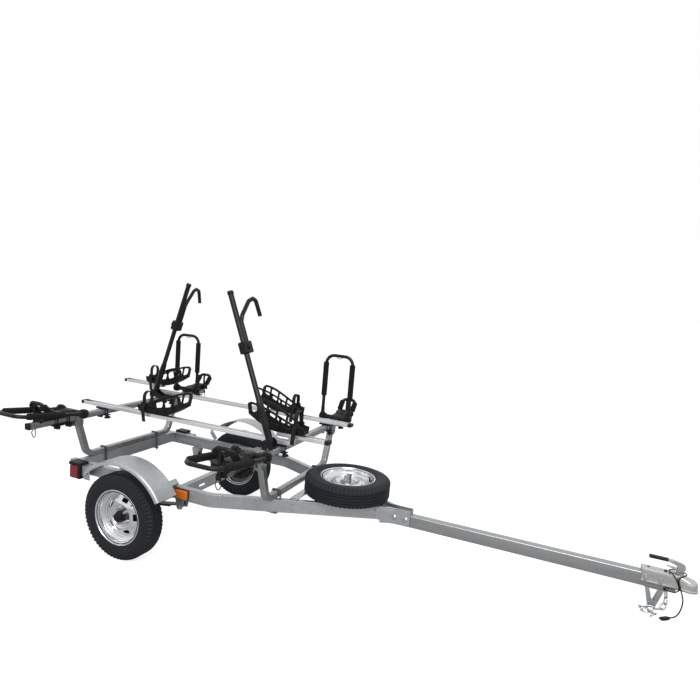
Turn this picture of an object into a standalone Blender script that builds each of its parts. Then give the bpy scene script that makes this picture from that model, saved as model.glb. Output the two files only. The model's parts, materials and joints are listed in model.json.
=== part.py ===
"""Kayak and bike trailer: a galvanised tongue trailer with two load bars, two bike trays
with hook arms, four folding kayak cradles and a flat-mounted spare wheel.

Everything on the frame is modelled level: X forward, Y to the left, Z up from the ground
under the tyres, with the axle at X = 0.  The parent empty then pitches the whole trailer
nose down until the tongue stand's foot meets the ground, which is how it stands parked.
"""
import math

import bmesh
import bpy
from mathutils import Matrix, Quaternion, Vector

GAP = 0.0003            # clearance between pieces that touch
SINK = 0.0005           # how far a joined fitting reaches into its carrier

# Wheels, 4.80-12
TYRE_RADIUS = 0.259
TYRE_WIDTH = 0.120
RIM_RADIUS = 0.1675
RIM_WIDTH = 0.110
SEAT_RADIUS = 0.1525
WELL_RADIUS = 0.132
SHEET = 0.003           # rim steel
RIM_SLOTS = 5
TRACK = 1.246
HUB_RADIUS = 0.0325
DISC_Z = 0.012          # the disc stands this far outboard of the rim's middle
WHEEL_STEPS = 20
SPINDLE_RADIUS = 0.014

# Frame of 3 inch channel
RAIL_HEIGHT = 0.076
RAIL_FLANGE = 0.038
RAIL_WALL = 0.003
RAIL_TOP = 0.450
RAIL_Y = 0.4775         # outer face of the web
RAIL_REAR = -0.600
RAIL_BEND = 0.500
RAIL_CLOSE = 1.470
RAIL_NOSE_Y = 0.031
RAIL_FRONT = 1.573
MIDDLE_X = 0.283
SPLICE = 0.004          # plates that clamp the rails' noses to the tongue
SPLICE_TOP = 0.437
SPLICE_HEIGHT = 0.080
SPLICE_REAR = 1.400
SPLICE_BOLTS = (RAIL_CLOSE + 0.030, RAIL_FRONT - 0.025)
SPLICE_BOLT_Z = 0.392

# Spare wheel on its carrier
STRAP = 0.004
STRAP_WIDTH = 0.050
STRAP_REAR_X = 0.930
STRAP_FRONT_X = 1.380
SPARE_X = 1.159

# Tongue, coupler and stand
TONGUE_WIDTH = 0.051
TONGUE_HEIGHT = 0.070
TONGUE_WALL = 0.003
TONGUE_TOP = 0.4225
TONGUE_REAR = 1.300
TONGUE_FRONT = 2.905
BALL_X = 2.956
BALL_RADIUS = 0.0265    # a 2 inch ball with its running clearance
COUPLER_REAR = 2.752
COUPLER_TOP = 0.446
COUPLER_LIP = 0.384
COUPLER_WALL = 0.004
LIP = 0.005
LATCH_X = 2.912
LATCH_PIN = (2.920, 0.478)
STAND_X = 2.818
STAND_DROP = 0.102      # from the tongue's underside to the foot, at STAND_X
STAND_STRAP = 0.038
STRAP_LEG = 0.010

# Running gear
AXLE_BEAM = 0.040
SPRING_Y = 0.4375
SPRING_WIDTH = 0.045
SPRING_HALF = 0.280
LEAF = 0.007
SPRING_RISE = 0.034
HANGER_PIN = 0.006
FENDER_RADIUS = 0.350
FENDER_X = 0.030
FENDER_INNER = 0.560
FENDER_OUTER = 0.715
FENDER_SHEET = 0.002
FENDER_ARC = (22.0, 150.0)
FENDER_STEPS = 12
BRACKET_ANGLES = (42.0, 141.0)

# Lights
LENS = 0.004
LIGHT_REAR = -0.522
LIGHT_DEEP = 0.082
LIGHT_TOP = 0.464
LIGHT_TALL = 0.104
LIGHT_WIDE = 0.072
MARKER_X = 0.3085

# Uprights and load bars, 1.5 inch square tube
TUBE = 0.038
TUBE_WALL = 0.0025
BAR_LENGTH = 1.651
BAR_Z = 0.739
REAR_BAR_X = -0.548
FRONT_BAR_X = 0.822
UPRIGHT_BASE = 0.343    # half length of the straight base
UPRIGHT_BEND = 0.070
UPRIGHT_SPLAY = 18.0
BAR_BOLT = 0.0045

# Bike trays
TRAY_WIDTH = 0.050
TRAY_HEIGHT = 0.022
TRAY_WALL = 0.002
TRAY_PLATE = 0.012
TRAY_STEP = 0.045
STUB_LAP = 0.100
TRAY_RIGHT_Y = -0.255
TRAY_LEFT_Y = 0.390
ARM_SIDE = 0.095        # the arm stands this far to the right of its tray
ARM_PIN = 0.006
CHEEK = 0.0265
MAST_RADIUS = 0.016
MAST_SHOE = 0.021
MAST_LENGTH = 0.870
SHOE_LENGTH = 0.230
HOOK_RADIUS = 0.011
HOOK_SIDE = 0.031       # the hook runs up this far beside the mast
CLAMP_HEIGHT = 0.550    # of the hook's clamp up the mast
WHEEL_HOLDER = 0.360
HOLDER_FLARE = 0.28     # how far a wall leans outward for its height
STRAP_ARCH = 0.225

# Kayak cradles
HUB_LIFT = 0.041        # hinge axis above the load bar's centre
HOOP_HALF = 0.100
HOOP_TALL = 0.446
HOOP_TUBE = 0.009
HOOP_CORNER = 0.060
KNUCKLE = 0.030
KNUCKLE_WIDTH = 0.029
HINGE_PIN = 0.008
PAD_RADIUS = 0.0155
PAD_FROM = 0.150
PAD_TO = 0.390
SHORT_HALF = 0.050
SHORT_FOOT = 0.180

# Safety chain and wiring lead
LINK_WIRE = 0.0065
LINK_LONG = 0.044
LINK_WIDE = 0.026
LINK_HOLD = 0.0010      # how far a link's end sinks into the next one's
LEAD_RADIUS = 0.003

# Routes in parked coordinates, from the foot of the stand: places chosen by eye
CHAIN_ROUTE = [
    (0.060, -0.002, 0.0916), (0.062, -0.010, 0.062), (0.057, -0.024, 0.032), (0.038, -0.044, 0.014),
    (0.002, -0.050, 0.012), (-0.036, -0.046, 0.012), (-0.060, -0.062, 0.012), (-0.040, -0.084, 0.012),
    (-0.010, -0.086, 0.012), (0.006, -0.102, 0.012), (-0.010, -0.126, 0.012), (-0.040, -0.122, 0.012)]
LEAD_ROUTE = [
    (0.050, -0.0288, 0.110), (0.052, -0.034, 0.110), (0.066, -0.039, 0.108), (0.090, -0.0405, 0.108),
    (0.108, -0.0405, 0.122), (0.103, -0.0405, 0.150), (0.091, -0.0400, 0.178), (0.077, -0.034, 0.1965),
    (0.069, -0.018, 0.1955), (0.070, 0.008, 0.1950), (0.085, 0.022, 0.1938), (0.112, 0.024, 0.1915),
    (0.137, 0.012, 0.1895), (0.141, -0.008, 0.1895), (0.130, -0.026, 0.1900), (0.110, -0.042, 0.1850),
    (0.104, -0.0495, 0.165), (0.110, -0.0510, 0.137), (0.119, -0.0530, 0.108), (0.123, -0.060, 0.078),
    (0.116, -0.071, 0.046), (0.103, -0.081, 0.020), (0.086, -0.0905, 0.0070), (0.0672, -0.1030, 0.0065)]
PLUG_LENGTH = 0.050

# Levels and places that follow from the sizes
BAR_TOP = BAR_Z + TUBE / 2
BAR_BOTTOM = BAR_Z - TUBE / 2
HUB_Z = BAR_Z + HUB_LIFT
WHEEL_Y = TRACK / 2
TONGUE_BOTTOM = TONGUE_TOP - TONGUE_HEIGHT
RAIL_BOTTOM = RAIL_TOP - RAIL_HEIGHT
FOOT_Z = TONGUE_BOTTOM - STAND_DROP
SPARE_Z = RAIL_TOP + GAP + STRAP + GAP + TYRE_WIDTH / 2
SPRING_SEAT = TYRE_RADIUS + AXLE_BEAM / 2 + GAP
HANGER_PIN_Z = SPRING_SEAT + SPRING_RISE + 2 * LEAF - HANGER_PIN - 0.0006
TRAY_Z = BAR_TOP + GAP + TRAY_PLATE + GAP
ARM_Z = TRAY_Z + 0.026

# Tray: centre line, side, end over the base, far end, end of the raised stub
TRAYS = {"right": (TRAY_RIGHT_Y, 0.900, -0.813, 1.120), "left": (TRAY_LEFT_Y, -0.700, 1.000, -1.000)}
# Wheel holder: place along the trailer, centre line, the way its high end faces
HOLDERS = {"right_front": (0.800, TRAY_RIGHT_Y, -1), "right_rear": (-0.046, TRAY_RIGHT_Y, 1),
           "left_rear": (-0.566, TRAY_LEFT_Y, 1), "left_front": (0.450, TRAY_LEFT_Y, -1)}
# Arm: place of its pivot and how far it leans
ARMS = {"right": (0.800, TRAY_RIGHT_Y - ARM_SIDE, -21.4), "left": (-0.590, TRAY_LEFT_Y - ARM_SIDE, 17.9)}
# Cradle: place, side, distance of its hinge from the centre plane, how far it is folded
CRADLES = {"front_left": (FRONT_BAR_X, 1, 0.535, 0.0), "rear_left": (REAR_BAR_X, 1, 0.610, 0.0),
           "front_right": (FRONT_BAR_X, -1, 0.585, 83.0), "rear_right": (REAR_BAR_X, -1, 0.515, 83.0)}


def pitch_angle():
    """The nose-down angle that brings the stand's foot to the ground."""
    drop = TYRE_RADIUS - FOOT_Z
    return math.asin(TYRE_RADIUS / math.hypot(STAND_X, drop)) - math.atan2(drop, STAND_X)


PITCH = pitch_angle()
FOOT_REACH = STAND_X * math.cos(PITCH) + (FOOT_Z - TYRE_RADIUS) * math.sin(PITCH)


def clear_scene():
    for item in list(bpy.data.objects):
        bpy.data.objects.remove(item, do_unlink=True)


def collection(name):
    group = bpy.data.collections.new(name)
    bpy.context.scene.collection.children.link(group)
    return group


def material(name, colour, roughness, metallic=0.0):
    made = bpy.data.materials.new(name)
    made.use_nodes = True
    shader = made.node_tree.nodes["Principled BSDF"]
    shader.inputs["Base Color"].default_value = (*colour, 1.0)
    shader.inputs["Roughness"].default_value = roughness
    shader.inputs["Metallic"].default_value = metallic
    return made


clear_scene()
TRAILER = collection("kayak_and_bike_trailer")
GALVANISED = (0.62, 0.64, 0.66)
ZINC = (0.72, 0.73, 0.75)
BLACK_COAT = (0.015, 0.015, 0.017)
BLACK_PLASTIC = (0.02, 0.02, 0.022)
RUBBER = (0.018, 0.019, 0.023)
ALUMINIUM = (0.80, 0.81, 0.83)


def empty(name, location, parent=None, rotation=(0.0, 0.0, 0.0)):
    item = bpy.data.objects.new(name, None)
    item.empty_display_size = 0.05
    item.location = location
    item.rotation_euler = rotation
    item.parent = parent
    TRAILER.objects.link(item)
    return item


def link(data):
    item = bpy.data.objects.new("piece", data)
    TRAILER.objects.link(item)
    return item


def from_bmesh(mesh):
    data = bpy.data.meshes.new("piece")
    mesh.to_mesh(data)
    mesh.free()
    return link(data)


def baked(item):
    """Replace an object by the mesh that its modifiers or its curve make, caps welded."""
    bpy.context.view_layer.update()
    evaluated = item.evaluated_get(bpy.context.evaluated_depsgraph_get())
    data = bpy.data.meshes.new_from_object(evaluated)
    result = link(data)
    result.matrix_world = item.matrix_world.copy()
    bpy.data.objects.remove(item, do_unlink=True)
    mesh = bmesh.new()
    mesh.from_mesh(data)
    bmesh.ops.remove_doubles(mesh, verts=mesh.verts, dist=1e-6)
    mesh.to_mesh(data)
    mesh.free()
    return result


def moved(item, matrix):
    """Move an object's mesh, keeping its faces outward when the matrix mirrors it."""
    item.data.transform(matrix)
    if matrix.determinant() < 0:
        item.data.flip_normals()
    return item


def mirrored(item):
    """A copy on the other side of the trailer's centre plane."""
    return moved(link(item.data.copy()), Matrix.Diagonal((1, -1, 1, 1)))


def shift(x=0.0, y=0.0, z=0.0):
    return Matrix.Translation((x, y, z))


def turn(degrees, axis):
    return Matrix.Rotation(math.radians(degrees), 4, axis)


def boolean(base, tools, operation):
    for tool in tools:
        step = base.modifiers.new(operation.lower(), "BOOLEAN")
        step.operation = operation
        step.solver = "EXACT"
        step.object = tool
    result = baked(base)
    for tool in tools:
        bpy.data.objects.remove(tool, do_unlink=True)
    return result


def fused(base, *tools):
    return boolean(base, tools, "UNION")


def cut(base, *tools):
    return boolean(base, tools, "DIFFERENCE")


def box(x0, x1, y0, y1, z0, z1):
    mesh = bmesh.new()
    size = Matrix.Diagonal((x1 - x0, y1 - y0, z1 - z0, 1))
    centre = shift((x0 + x1) / 2, (y0 + y1) / 2, (z0 + z1) / 2)
    bmesh.ops.create_cube(mesh, size=1.0, matrix=centre @ size)
    return from_bmesh(mesh)


def rod(start, end, radius, end_radius=None, sides=12, twist=0.0):
    """A round bar or cone between two points."""
    start, end = Vector(start), Vector(end)
    aim = (end - start).to_track_quat("Z", "Y").to_matrix().to_4x4()
    place = Matrix.Translation((start + end) / 2) @ aim @ turn(twist, "Z")
    mesh = bmesh.new()
    bmesh.ops.create_cone(mesh, cap_ends=True, segments=sides, radius1=radius,
                          radius2=radius if end_radius is None else end_radius,
                          depth=(end - start).length, matrix=place)
    return from_bmesh(mesh)


def bolt(point, direction, size=0.0065, height=0.005):
    """A hexagon head seated a little into the face at the point, to join it."""
    point, direction = Vector(point), Vector(direction).normalized()
    return rod(point - direction * SINK, point + direction * height, size, sides=6)


def curve(dimensions):
    data = bpy.data.curves.new("outline", "CURVE")
    data.dimensions = dimensions
    return data


def spline(data, points, cyclic):
    line = data.splines.new("POLY")
    line.points.add(len(points) - 1)
    for target, point in zip(line.points, points):
        target.co = (*point, 1.0)
    line.use_cyclic_u = cyclic


def plate(outline, thickness, holes=()):
    """A flat outline in XY, centred on Z = 0, with its holes."""
    data = curve("2D")
    data.fill_mode = "BOTH"
    data.extrude = thickness / 2
    for loop in (outline, *holes):
        spline(data, [(x, y, 0.0) for x, y in loop], True)
    return baked(link(data))


def upright_plate(outline, thickness, at, facing="Y"):
    """A plate whose outline is (along, up); it faces Y or X and is centred there."""
    made = plate(outline, thickness)
    aim = turn(90, "X")
    if facing == "X":
        aim = turn(90, "Z") @ aim
    place = shift(y=at) if facing == "Y" else shift(x=at)
    return moved(made, place @ aim)


def tube(points, radius, cyclic=False, resolution=2):
    data = curve("3D")
    data.bevel_depth = radius
    data.bevel_resolution = resolution
    data.use_fill_caps = not cyclic
    spline(data, points, cyclic)
    return baked(link(data))


def sweep(points, profile, cyclic=False):
    """A section carried along a path: its x points to the right of travel, its y up."""
    section = curve("2D")
    spline(section, [(x, y, 0.0) for x, y in profile], True)
    shape = link(section)
    data = curve("3D")
    data.bevel_mode = "OBJECT"
    data.bevel_object = shape
    data.use_fill_caps = not cyclic
    data.twist_mode = "Z_UP"
    spline(data, points, cyclic)
    made = baked(link(data))
    bpy.data.objects.remove(shape, do_unlink=True)
    return made


def turned(profile, steps):
    """A closed ring section (radius, height), top to bottom on its outer side, about Z."""
    mesh = bmesh.new()
    corners = [mesh.verts.new((radius, 0.0, height)) for radius, height in profile]
    for here, there in zip(corners, corners[1:] + corners[:1]):
        if here.co.x > 0 or there.co.x > 0:
            mesh.edges.new((here, there))
    item = from_bmesh(mesh)
    screw = item.modifiers.new("turn", "SCREW")
    screw.steps = steps
    screw.render_steps = steps
    screw.use_merge_vertices = True
    screw.merge_threshold = 1e-5
    return baked(item)


def rounded(points, radius, steps):
    """Replace the inner corners of a path by arcs that meet the straights."""
    path = [Vector(points[0])]
    for before, corner, after in zip(points, points[1:], points[2:]):
        before, corner, after = Vector(before), Vector(corner), Vector(after)
        inward, outward = (before - corner).normalized(), (after - corner).normalized()
        half = inward.angle(outward) / 2
        reach = radius / math.tan(half)
        centre = corner + (inward + outward).normalized() * (radius / math.sin(half))
        first, last = corner + inward * reach - centre, corner + outward * reach - centre
        swing = first.rotation_difference(last)
        for step in range(steps + 1):
            path.append(centre + Quaternion().slerp(swing, step / steps) @ first)
    path.append(Vector(points[-1]))
    return [tuple(point) for point in path]


def channel_section(height, width, wall, top=0.0):
    """A C whose web is at x = 0 and whose flanges reach to -x, hung from its top."""
    bottom = top - height
    return [(0, top), (0, bottom), (-width, bottom), (-width, bottom + wall),
            (-wall, bottom + wall), (-wall, top - wall), (-width, top - wall), (-width, top)]


def square_section(size):
    half = size / 2
    return [(-half, half), (half, half), (half, -half), (-half, -half)]


def flat_section(half, thick):
    return [(-half, thick / 2), (half, thick / 2), (half, -thick / 2), (-half, -thick / 2)]


def part(name, item, finish, body):
    item.name = name
    item.data.name = name
    item.data.materials.clear()
    item.data.materials.append(finish)
    item.parent = body
    return item


def smooth(item, degrees=35.0):
    item.data.shade_smooth()
    item.data.set_sharp_from_angle(angle=math.radians(degrees))
    return item


# Bodies: an empty on each joint axis
trailer = empty("trailer", (-TYRE_RADIUS * math.sin(PITCH) - FOOT_REACH, 0.0,
                            TYRE_RADIUS * (1 - math.cos(PITCH))), rotation=(0.0, PITCH, 0.0))
axle = empty("axle", (0.0, 0.0, TYRE_RADIUS), trailer)


def rail_path(inset=0.0, start=RAIL_REAR, end=RAIL_FRONT):
    """The right rail's outer face in plan, moved outward by the inset."""
    slope = (RAIL_Y - RAIL_NOSE_Y) / (RAIL_CLOSE - RAIL_BEND)
    lean = math.hypot(1.0, slope)
    first = RAIL_BEND + inset * (lean - 1) / slope
    second = RAIL_CLOSE + inset * (lean - 1) / slope
    corners = [(start, -RAIL_Y - inset, 0.0), (first, -RAIL_Y - inset, 0.0),
               (second, -RAIL_NOSE_Y - inset, 0.0), (end, -RAIL_NOSE_Y - inset, 0.0)]
    if start > first:
        corners = [(start, -RAIL_Y - inset + slope * (start - first), 0.0)] + corners[2:]
    return rounded(corners, 0.12, 2)


def rail_web_y(x):
    """Distance of the rails' outer face from the centre plane."""
    slope = (RAIL_Y - RAIL_NOSE_Y) / (RAIL_CLOSE - RAIL_BEND)
    return max(RAIL_NOSE_Y, RAIL_Y - slope * max(0.0, x - RAIL_BEND))


def side_rails():
    """Bent channels that carry the fender brackets and spring hangers."""
    steel = material("galvanised_rail", GALVANISED, 0.38, 0.85)
    rail = sweep(rail_path(), channel_section(RAIL_HEIGHT, RAIL_FLANGE, RAIL_WALL, RAIL_TOP))
    clear_half = TONGUE_WIDTH / 2 + GAP
    rail = cut(rail, box(RAIL_CLOSE - 0.32, RAIL_FRONT + 0.1, -clear_half, 0.2,
                         RAIL_BOTTOM - 0.05, RAIL_TOP + 0.05))
    fittings = [fender_bracket(angle) for angle in BRACKET_ANGLES]
    fittings += [spring_hanger(x) for x in (SPRING_HALF, -SPRING_HALF)]
    rail = fused(rail, *fittings)
    part("side_rail_left", mirrored(rail), steel, trailer)
    part("side_rail_right", rail, steel, trailer)


def crossmember(name, x, slots):
    """A forward-facing channel whose web is coped to pass between the rails' flanges."""
    steel = material("galvanised_" + name, GALVANISED, 0.4, 0.85)
    reach = RAIL_Y - RAIL_WALL - GAP
    section = channel_section(RAIL_HEIGHT, RAIL_FLANGE, RAIL_WALL, RAIL_TOP)
    member = sweep([(x - RAIL_FLANGE / 2, reach, 0.0), (x - RAIL_FLANGE / 2, -reach, 0.0)],
                   section)
    cope = RAIL_Y - RAIL_FLANGE - GAP
    tools = []
    for side in (-1, 1):
        near, far = sorted((side * cope, side * (reach + 0.01)))
        for low, high in ((RAIL_TOP - RAIL_WALL - GAP, RAIL_TOP + 0.01),
                          (RAIL_BOTTOM - 0.01, RAIL_BOTTOM + RAIL_WALL + GAP)):
            tools.append(box(x - RAIL_FLANGE, x + RAIL_FLANGE, near, far, low, high))
    middle = RAIL_TOP - RAIL_HEIGHT / 2
    for place in slots:
        tools.append(box(x - RAIL_FLANGE, x, place - 0.03, place + 0.03,
                         middle - 0.009, middle + 0.009))
    part(name, cut(member, *tools), steel, trailer)


def spare_carrier():
    """Cross straps on the rails, a lengthwise bar, and the post whose nut holds the wheel."""
    steel = material("zinc_carrier", ZINC, 0.35, 0.9)
    low, high = RAIL_TOP + GAP, RAIL_TOP + GAP + STRAP
    straps = [box(x - STRAP_WIDTH / 2, x + STRAP_WIDTH / 2, -reach, reach, low, high)
              for x, reach in ((STRAP_REAR_X, rail_web_y(STRAP_REAR_X + STRAP_WIDTH / 2)),
                               (STRAP_FRONT_X, rail_web_y(STRAP_FRONT_X + STRAP_WIDTH / 2)))]
    spine = box(STRAP_REAR_X, STRAP_FRONT_X, -0.02, 0.02, low - STRAP, high)
    disc_top = SPARE_Z + DISC_Z + SHEET + GAP
    post = rod((SPARE_X, 0, high - 0.002), (SPARE_X, 0, disc_top + 0.035), 0.006, sides=8)
    washer = rod((SPARE_X, 0, disc_top), (SPARE_X, 0, disc_top + 0.006), 0.044, sides=14)
    nut = rod((SPARE_X, 0, disc_top + 0.005), (SPARE_X, 0, disc_top + 0.017), 0.012, sides=6)
    part("spare_carrier", fused(straps[0], straps[1], spine, post, washer, nut), steel, trailer)


def tongue_and_splice():
    steel = material("galvanised_tongue", GALVANISED, 0.36, 0.85)
    half = TONGUE_WIDTH / 2
    bore = half - TONGUE_WALL
    outer = box(TONGUE_REAR, TONGUE_FRONT, -half, half, TONGUE_BOTTOM, TONGUE_TOP)
    inner = box(TONGUE_REAR - 0.01, TONGUE_FRONT + 0.01, -bore, bore,
                TONGUE_BOTTOM + TONGUE_WALL, TONGUE_TOP - TONGUE_WALL)
    part("tongue", cut(outer, inner), steel, trailer)
    low = SPLICE_TOP - SPLICE_HEIGHT
    strap = [(0.0, SPLICE_TOP), (SPLICE, SPLICE_TOP), (SPLICE, low), (0.0, low)]
    face = RAIL_NOSE_Y + GAP + SPLICE
    heads = [bolt((x, -face, SPLICE_BOLT_Z), (0, -1, 0), 0.0095, 0.008) for x in SPLICE_BOLTS]
    right = fused(sweep(rail_path(GAP, SPLICE_REAR), strap), *heads)
    finish = material("galvanised_splice", GALVANISED, 0.42, 0.85)
    part("splice_plate_left", mirrored(right), finish, trailer)
    part("splice_plate_right", right, finish, trailer)


def coupler():
    """A pressed shell with a ball socket, out-turned lip and open underside."""
    steel = material("zinc_coupler", ZINC, 0.3, 0.9)
    inside = TONGUE_WIDTH / 2 + GAP
    outside = inside + COUPLER_WALL
    dome = BALL_RADIUS + COUPLER_WALL + 0.010
    neck = BALL_X - 0.030
    shell = box(COUPLER_REAR, neck, -outside, outside, COUPLER_LIP, COUPLER_TOP - 0.0003)
    flange = box(COUPLER_REAR + 0.05, neck + 0.004, -outside - LIP, outside + LIP,
                 COUPLER_LIP - 0.0012, COUPLER_LIP + 0.0032)
    head_section = [(0.0, COUPLER_TOP), (dome * 0.62, COUPLER_TOP - 0.003),
                    (dome * 0.9, COUPLER_TOP - 0.016), (dome, COUPLER_TOP - 0.036),
                    (dome + 0.001, COUPLER_LIP + COUPLER_WALL), (dome + LIP, COUPLER_LIP + COUPLER_WALL),
                    (dome + LIP, COUPLER_LIP - 0.006), (0.0, COUPLER_LIP - 0.006)]
    head = moved(turned(head_section, 14), shift(BALL_X))
    socket_section = [(0.0, COUPLER_TOP - COUPLER_WALL), (BALL_RADIUS * 0.7, COUPLER_TOP - 0.008),
                      (BALL_RADIUS + 0.002, COUPLER_TOP - 0.026), (BALL_RADIUS + 0.005, COUPLER_LIP - 0.02),
                      (0.0, COUPLER_LIP - 0.02)]
    socket = moved(turned(socket_section, 10), shift(BALL_X))
    hollow = box(COUPLER_REAR + COUPLER_WALL, neck + 0.006, -inside, inside,
                 COUPLER_LIP - 0.02, COUPLER_TOP - COUPLER_WALL)
    entry = box(COUPLER_REAR - 0.01, COUPLER_REAR + 0.01, -inside, inside,
                COUPLER_LIP - 0.02, TONGUE_TOP + GAP)
    body = cut(fused(shell, flange, head), hollow, socket, entry)
    holes = [rod((x, 0, COUPLER_TOP - 0.01), (x, 0, COUPLER_TOP + 0.01), 0.005, sides=6)
             for x in (COUPLER_REAR + 0.044, COUPLER_REAR + 0.095)]
    fittings = [bolt((x, side * outside, 0.405), (0, side, 0), 0.0085, 0.007)
                for x in (COUPLER_REAR + 0.020, COUPLER_REAR + 0.085) for side in (-1, 1)]
    pin_x, pin_z = LATCH_PIN
    post = box(LATCH_X - 0.014, LATCH_X + 0.019, -0.010, 0.010, COUPLER_TOP - SINK, pin_z + 0.010)
    pointer = upright_plate([(LATCH_X - 0.013, 0.462), (LATCH_X - 0.013, 0.474),
                             (LATCH_X - 0.060, 0.477)], 0.018, 0.0)
    pin = rod((pin_x, -0.0165, pin_z), (pin_x, 0.0165, pin_z), 0.004, sides=8)
    body = fused(cut(body, *holes), *fittings, post, pointer, pin)
    part("coupler", smooth(body), steel, trailer)


latch = empty("latch", (LATCH_PIN[0], 0.0, LATCH_PIN[1]), trailer)


def coupler_latch():
    """The lever that hinges on the coupler's cross pin, and its moulded grip."""
    steel = material("zinc_latch", ZINC, 0.28, 0.9)
    cheek = [(0.012, -0.012), (0.014, 0.016), (-0.010, 0.024), (-0.062, 0.031), (-0.062, 0.021),
             (-0.030, 0.012), (-0.012, -0.012)]
    sides = []
    for side in (-1, 1):
        wall = upright_plate(cheek, 0.003, side * 0.0120)
        bore = rod((0, side * 0.0120 - 0.01, 0), (0, side * 0.0120 + 0.01, 0), 0.0047, sides=8)
        sides.append(cut(wall, bore))
    roof = upright_plate([(0.014, 0.0135), (0.014, 0.0165), (-0.010, 0.0245), (-0.062, 0.0315),
                          (-0.062, 0.0285), (-0.010, 0.0215)], 0.027, 0.0)
    shank = box(-0.140, -0.061, -0.009, 0.009, 0.0235, 0.0295)
    lever = fused(sides[0], sides[1], roof, shank)
    part("latch_lever", lever, steel, latch)
    grip = cut(box(-0.144, -0.063, -0.0125, 0.0125, 0.0190, 0.0340),
               box(-0.142, -0.050, -0.0093, 0.0093, 0.0232, 0.0298))
    part("latch_grip", grip, material("black_grip", BLACK_PLASTIC, 0.55), latch)


def tongue_stand():
    """A bent strap whose two legs meet at the foot, cut flat along the ground."""
    steel = material("galvanised_stand", GALVANISED, 0.45, 0.8)
    top, foot = TONGUE_BOTTOM - GAP, FOOT_Z
    ground_rise = math.tan(PITCH)
    low = STRAP_LEG / 2
    toe = 0.016
    outline = [(STAND_X - 0.046, top), (STAND_X - 0.037, top - 0.012),
               (STAND_X - toe, foot + low - toe * ground_rise), (STAND_X - toe, foot - toe * ground_rise),
               (STAND_X + toe, foot + toe * ground_rise), (STAND_X + toe, foot + low + toe * ground_rise),
               (STAND_X + 0.040, top - 0.012), (STAND_X + 0.043, top)]
    window = [(STAND_X - 0.026, top - 0.005), (STAND_X - 0.003, foot + 0.024),
              (STAND_X + 0.006, foot + 0.024), (STAND_X + 0.029, top - 0.005)]
    made = moved(plate(outline, STAND_STRAP, [window]), turn(90, "X"))
    part("tongue_stand", made, steel, trailer)


def tyre(name, body, place=None):
    """A bias-ply trailer tyre: flat tread, square shoulders, beads on the rim's seats."""
    r, w, seat = TYRE_RADIUS, TYRE_WIDTH / 2, SEAT_RADIUS + GAP
    wall = RIM_WIDTH / 2 - 0.0048
    bead = RIM_RADIUS + 0.001
    section = [(r, w * 0.66), (r, -w * 0.66), (r - 0.010, -w * 0.88), (r - 0.045, -w),
               (RIM_RADIUS + 0.006, -w * 0.90), (bead, -wall), (seat, -wall), (seat, wall),
               (bead, wall), (RIM_RADIUS + 0.006, w * 0.90), (r - 0.045, w), (r - 0.010, w * 0.88)]
    made = turned(section, WHEEL_STEPS)
    if place:
        made = moved(made, place)
    part(name, smooth(made), material("rubber_" + name, RUBBER, 0.75), body)


def rim(name, body, place=None):
    """A pressed rim: flanges, bead seats, drop well and a dished disc with five slots."""
    flange, seat, well = RIM_RADIUS, SEAT_RADIUS, WELL_RADIUS
    edge = RIM_WIDTH / 2
    inner = edge - 0.0045
    z = DISC_Z
    bore = HUB_RADIUS + 0.001
    section = [(flange, edge), (flange, inner), (seat, inner), (well, 0.016), (well, -0.016),
               (seat, -inner), (flange, -inner), (flange, -edge), (seat - 0.005, -edge),
               (well - SHEET, -0.018), (well - SHEET, 0.000), (0.076, z + 0.010), (0.064, z),
               (bore, z), (bore, z + SHEET), (0.063, z + SHEET), (0.075, z + 0.010 + SHEET),
               (well - SHEET, SHEET + 0.001), (well - SHEET, 0.018), (seat - 0.005, edge)]
    made = turned(section, WHEEL_STEPS)
    tools = []
    for step in range(RIM_SLOTS):
        spoke = turn(360 / RIM_SLOTS * step, "Z")
        tools.append(moved(box(0.088, 0.112, -0.021, 0.021, -0.03, 0.06), spoke))
    made = cut(made, *tools)
    if place:
        made = moved(made, place)
    part(name, smooth(made), material("zinc_" + name, ZINC, 0.25, 0.95), body)


def hub(name, body, place):
    """Hub with its bearing bore, the flange behind the rim's disc and the grease cap."""
    z = DISC_Z - GAP
    section = [(0.0, 0.052), (0.022, 0.052), (0.027, 0.044), (HUB_RADIUS - 0.002, z), (0.0625, z),
               (0.0625, z - 0.010), (0.030, z - 0.010), (0.026, -0.052), (SPINDLE_RADIUS + 0.001, -0.052),
               (SPINDLE_RADIUS + 0.001, 0.0215), (0.0, 0.0215)]
    made = moved(turned(section, 12), place)
    part(name, smooth(made), material("zinc_" + name, ZINC, 0.3, 0.9), body)


def wheels():
    for side, word in ((-1, "right"), (1, "left")):
        body = empty("wheel_" + word, (0.0, side * WHEEL_Y, 0.0), axle, (0.0, -PITCH, 0.0))
        outward = turn(-90 * side, "X")
        tyre("tyre_" + word, body, outward)
        rim("rim_" + word, body, outward)
        hub("hub_" + word, body, outward)
    flat = shift(SPARE_X, 0.0, SPARE_Z)
    tyre("spare_tyre", trailer, flat)
    rim("spare_rim", trailer, flat)


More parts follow.
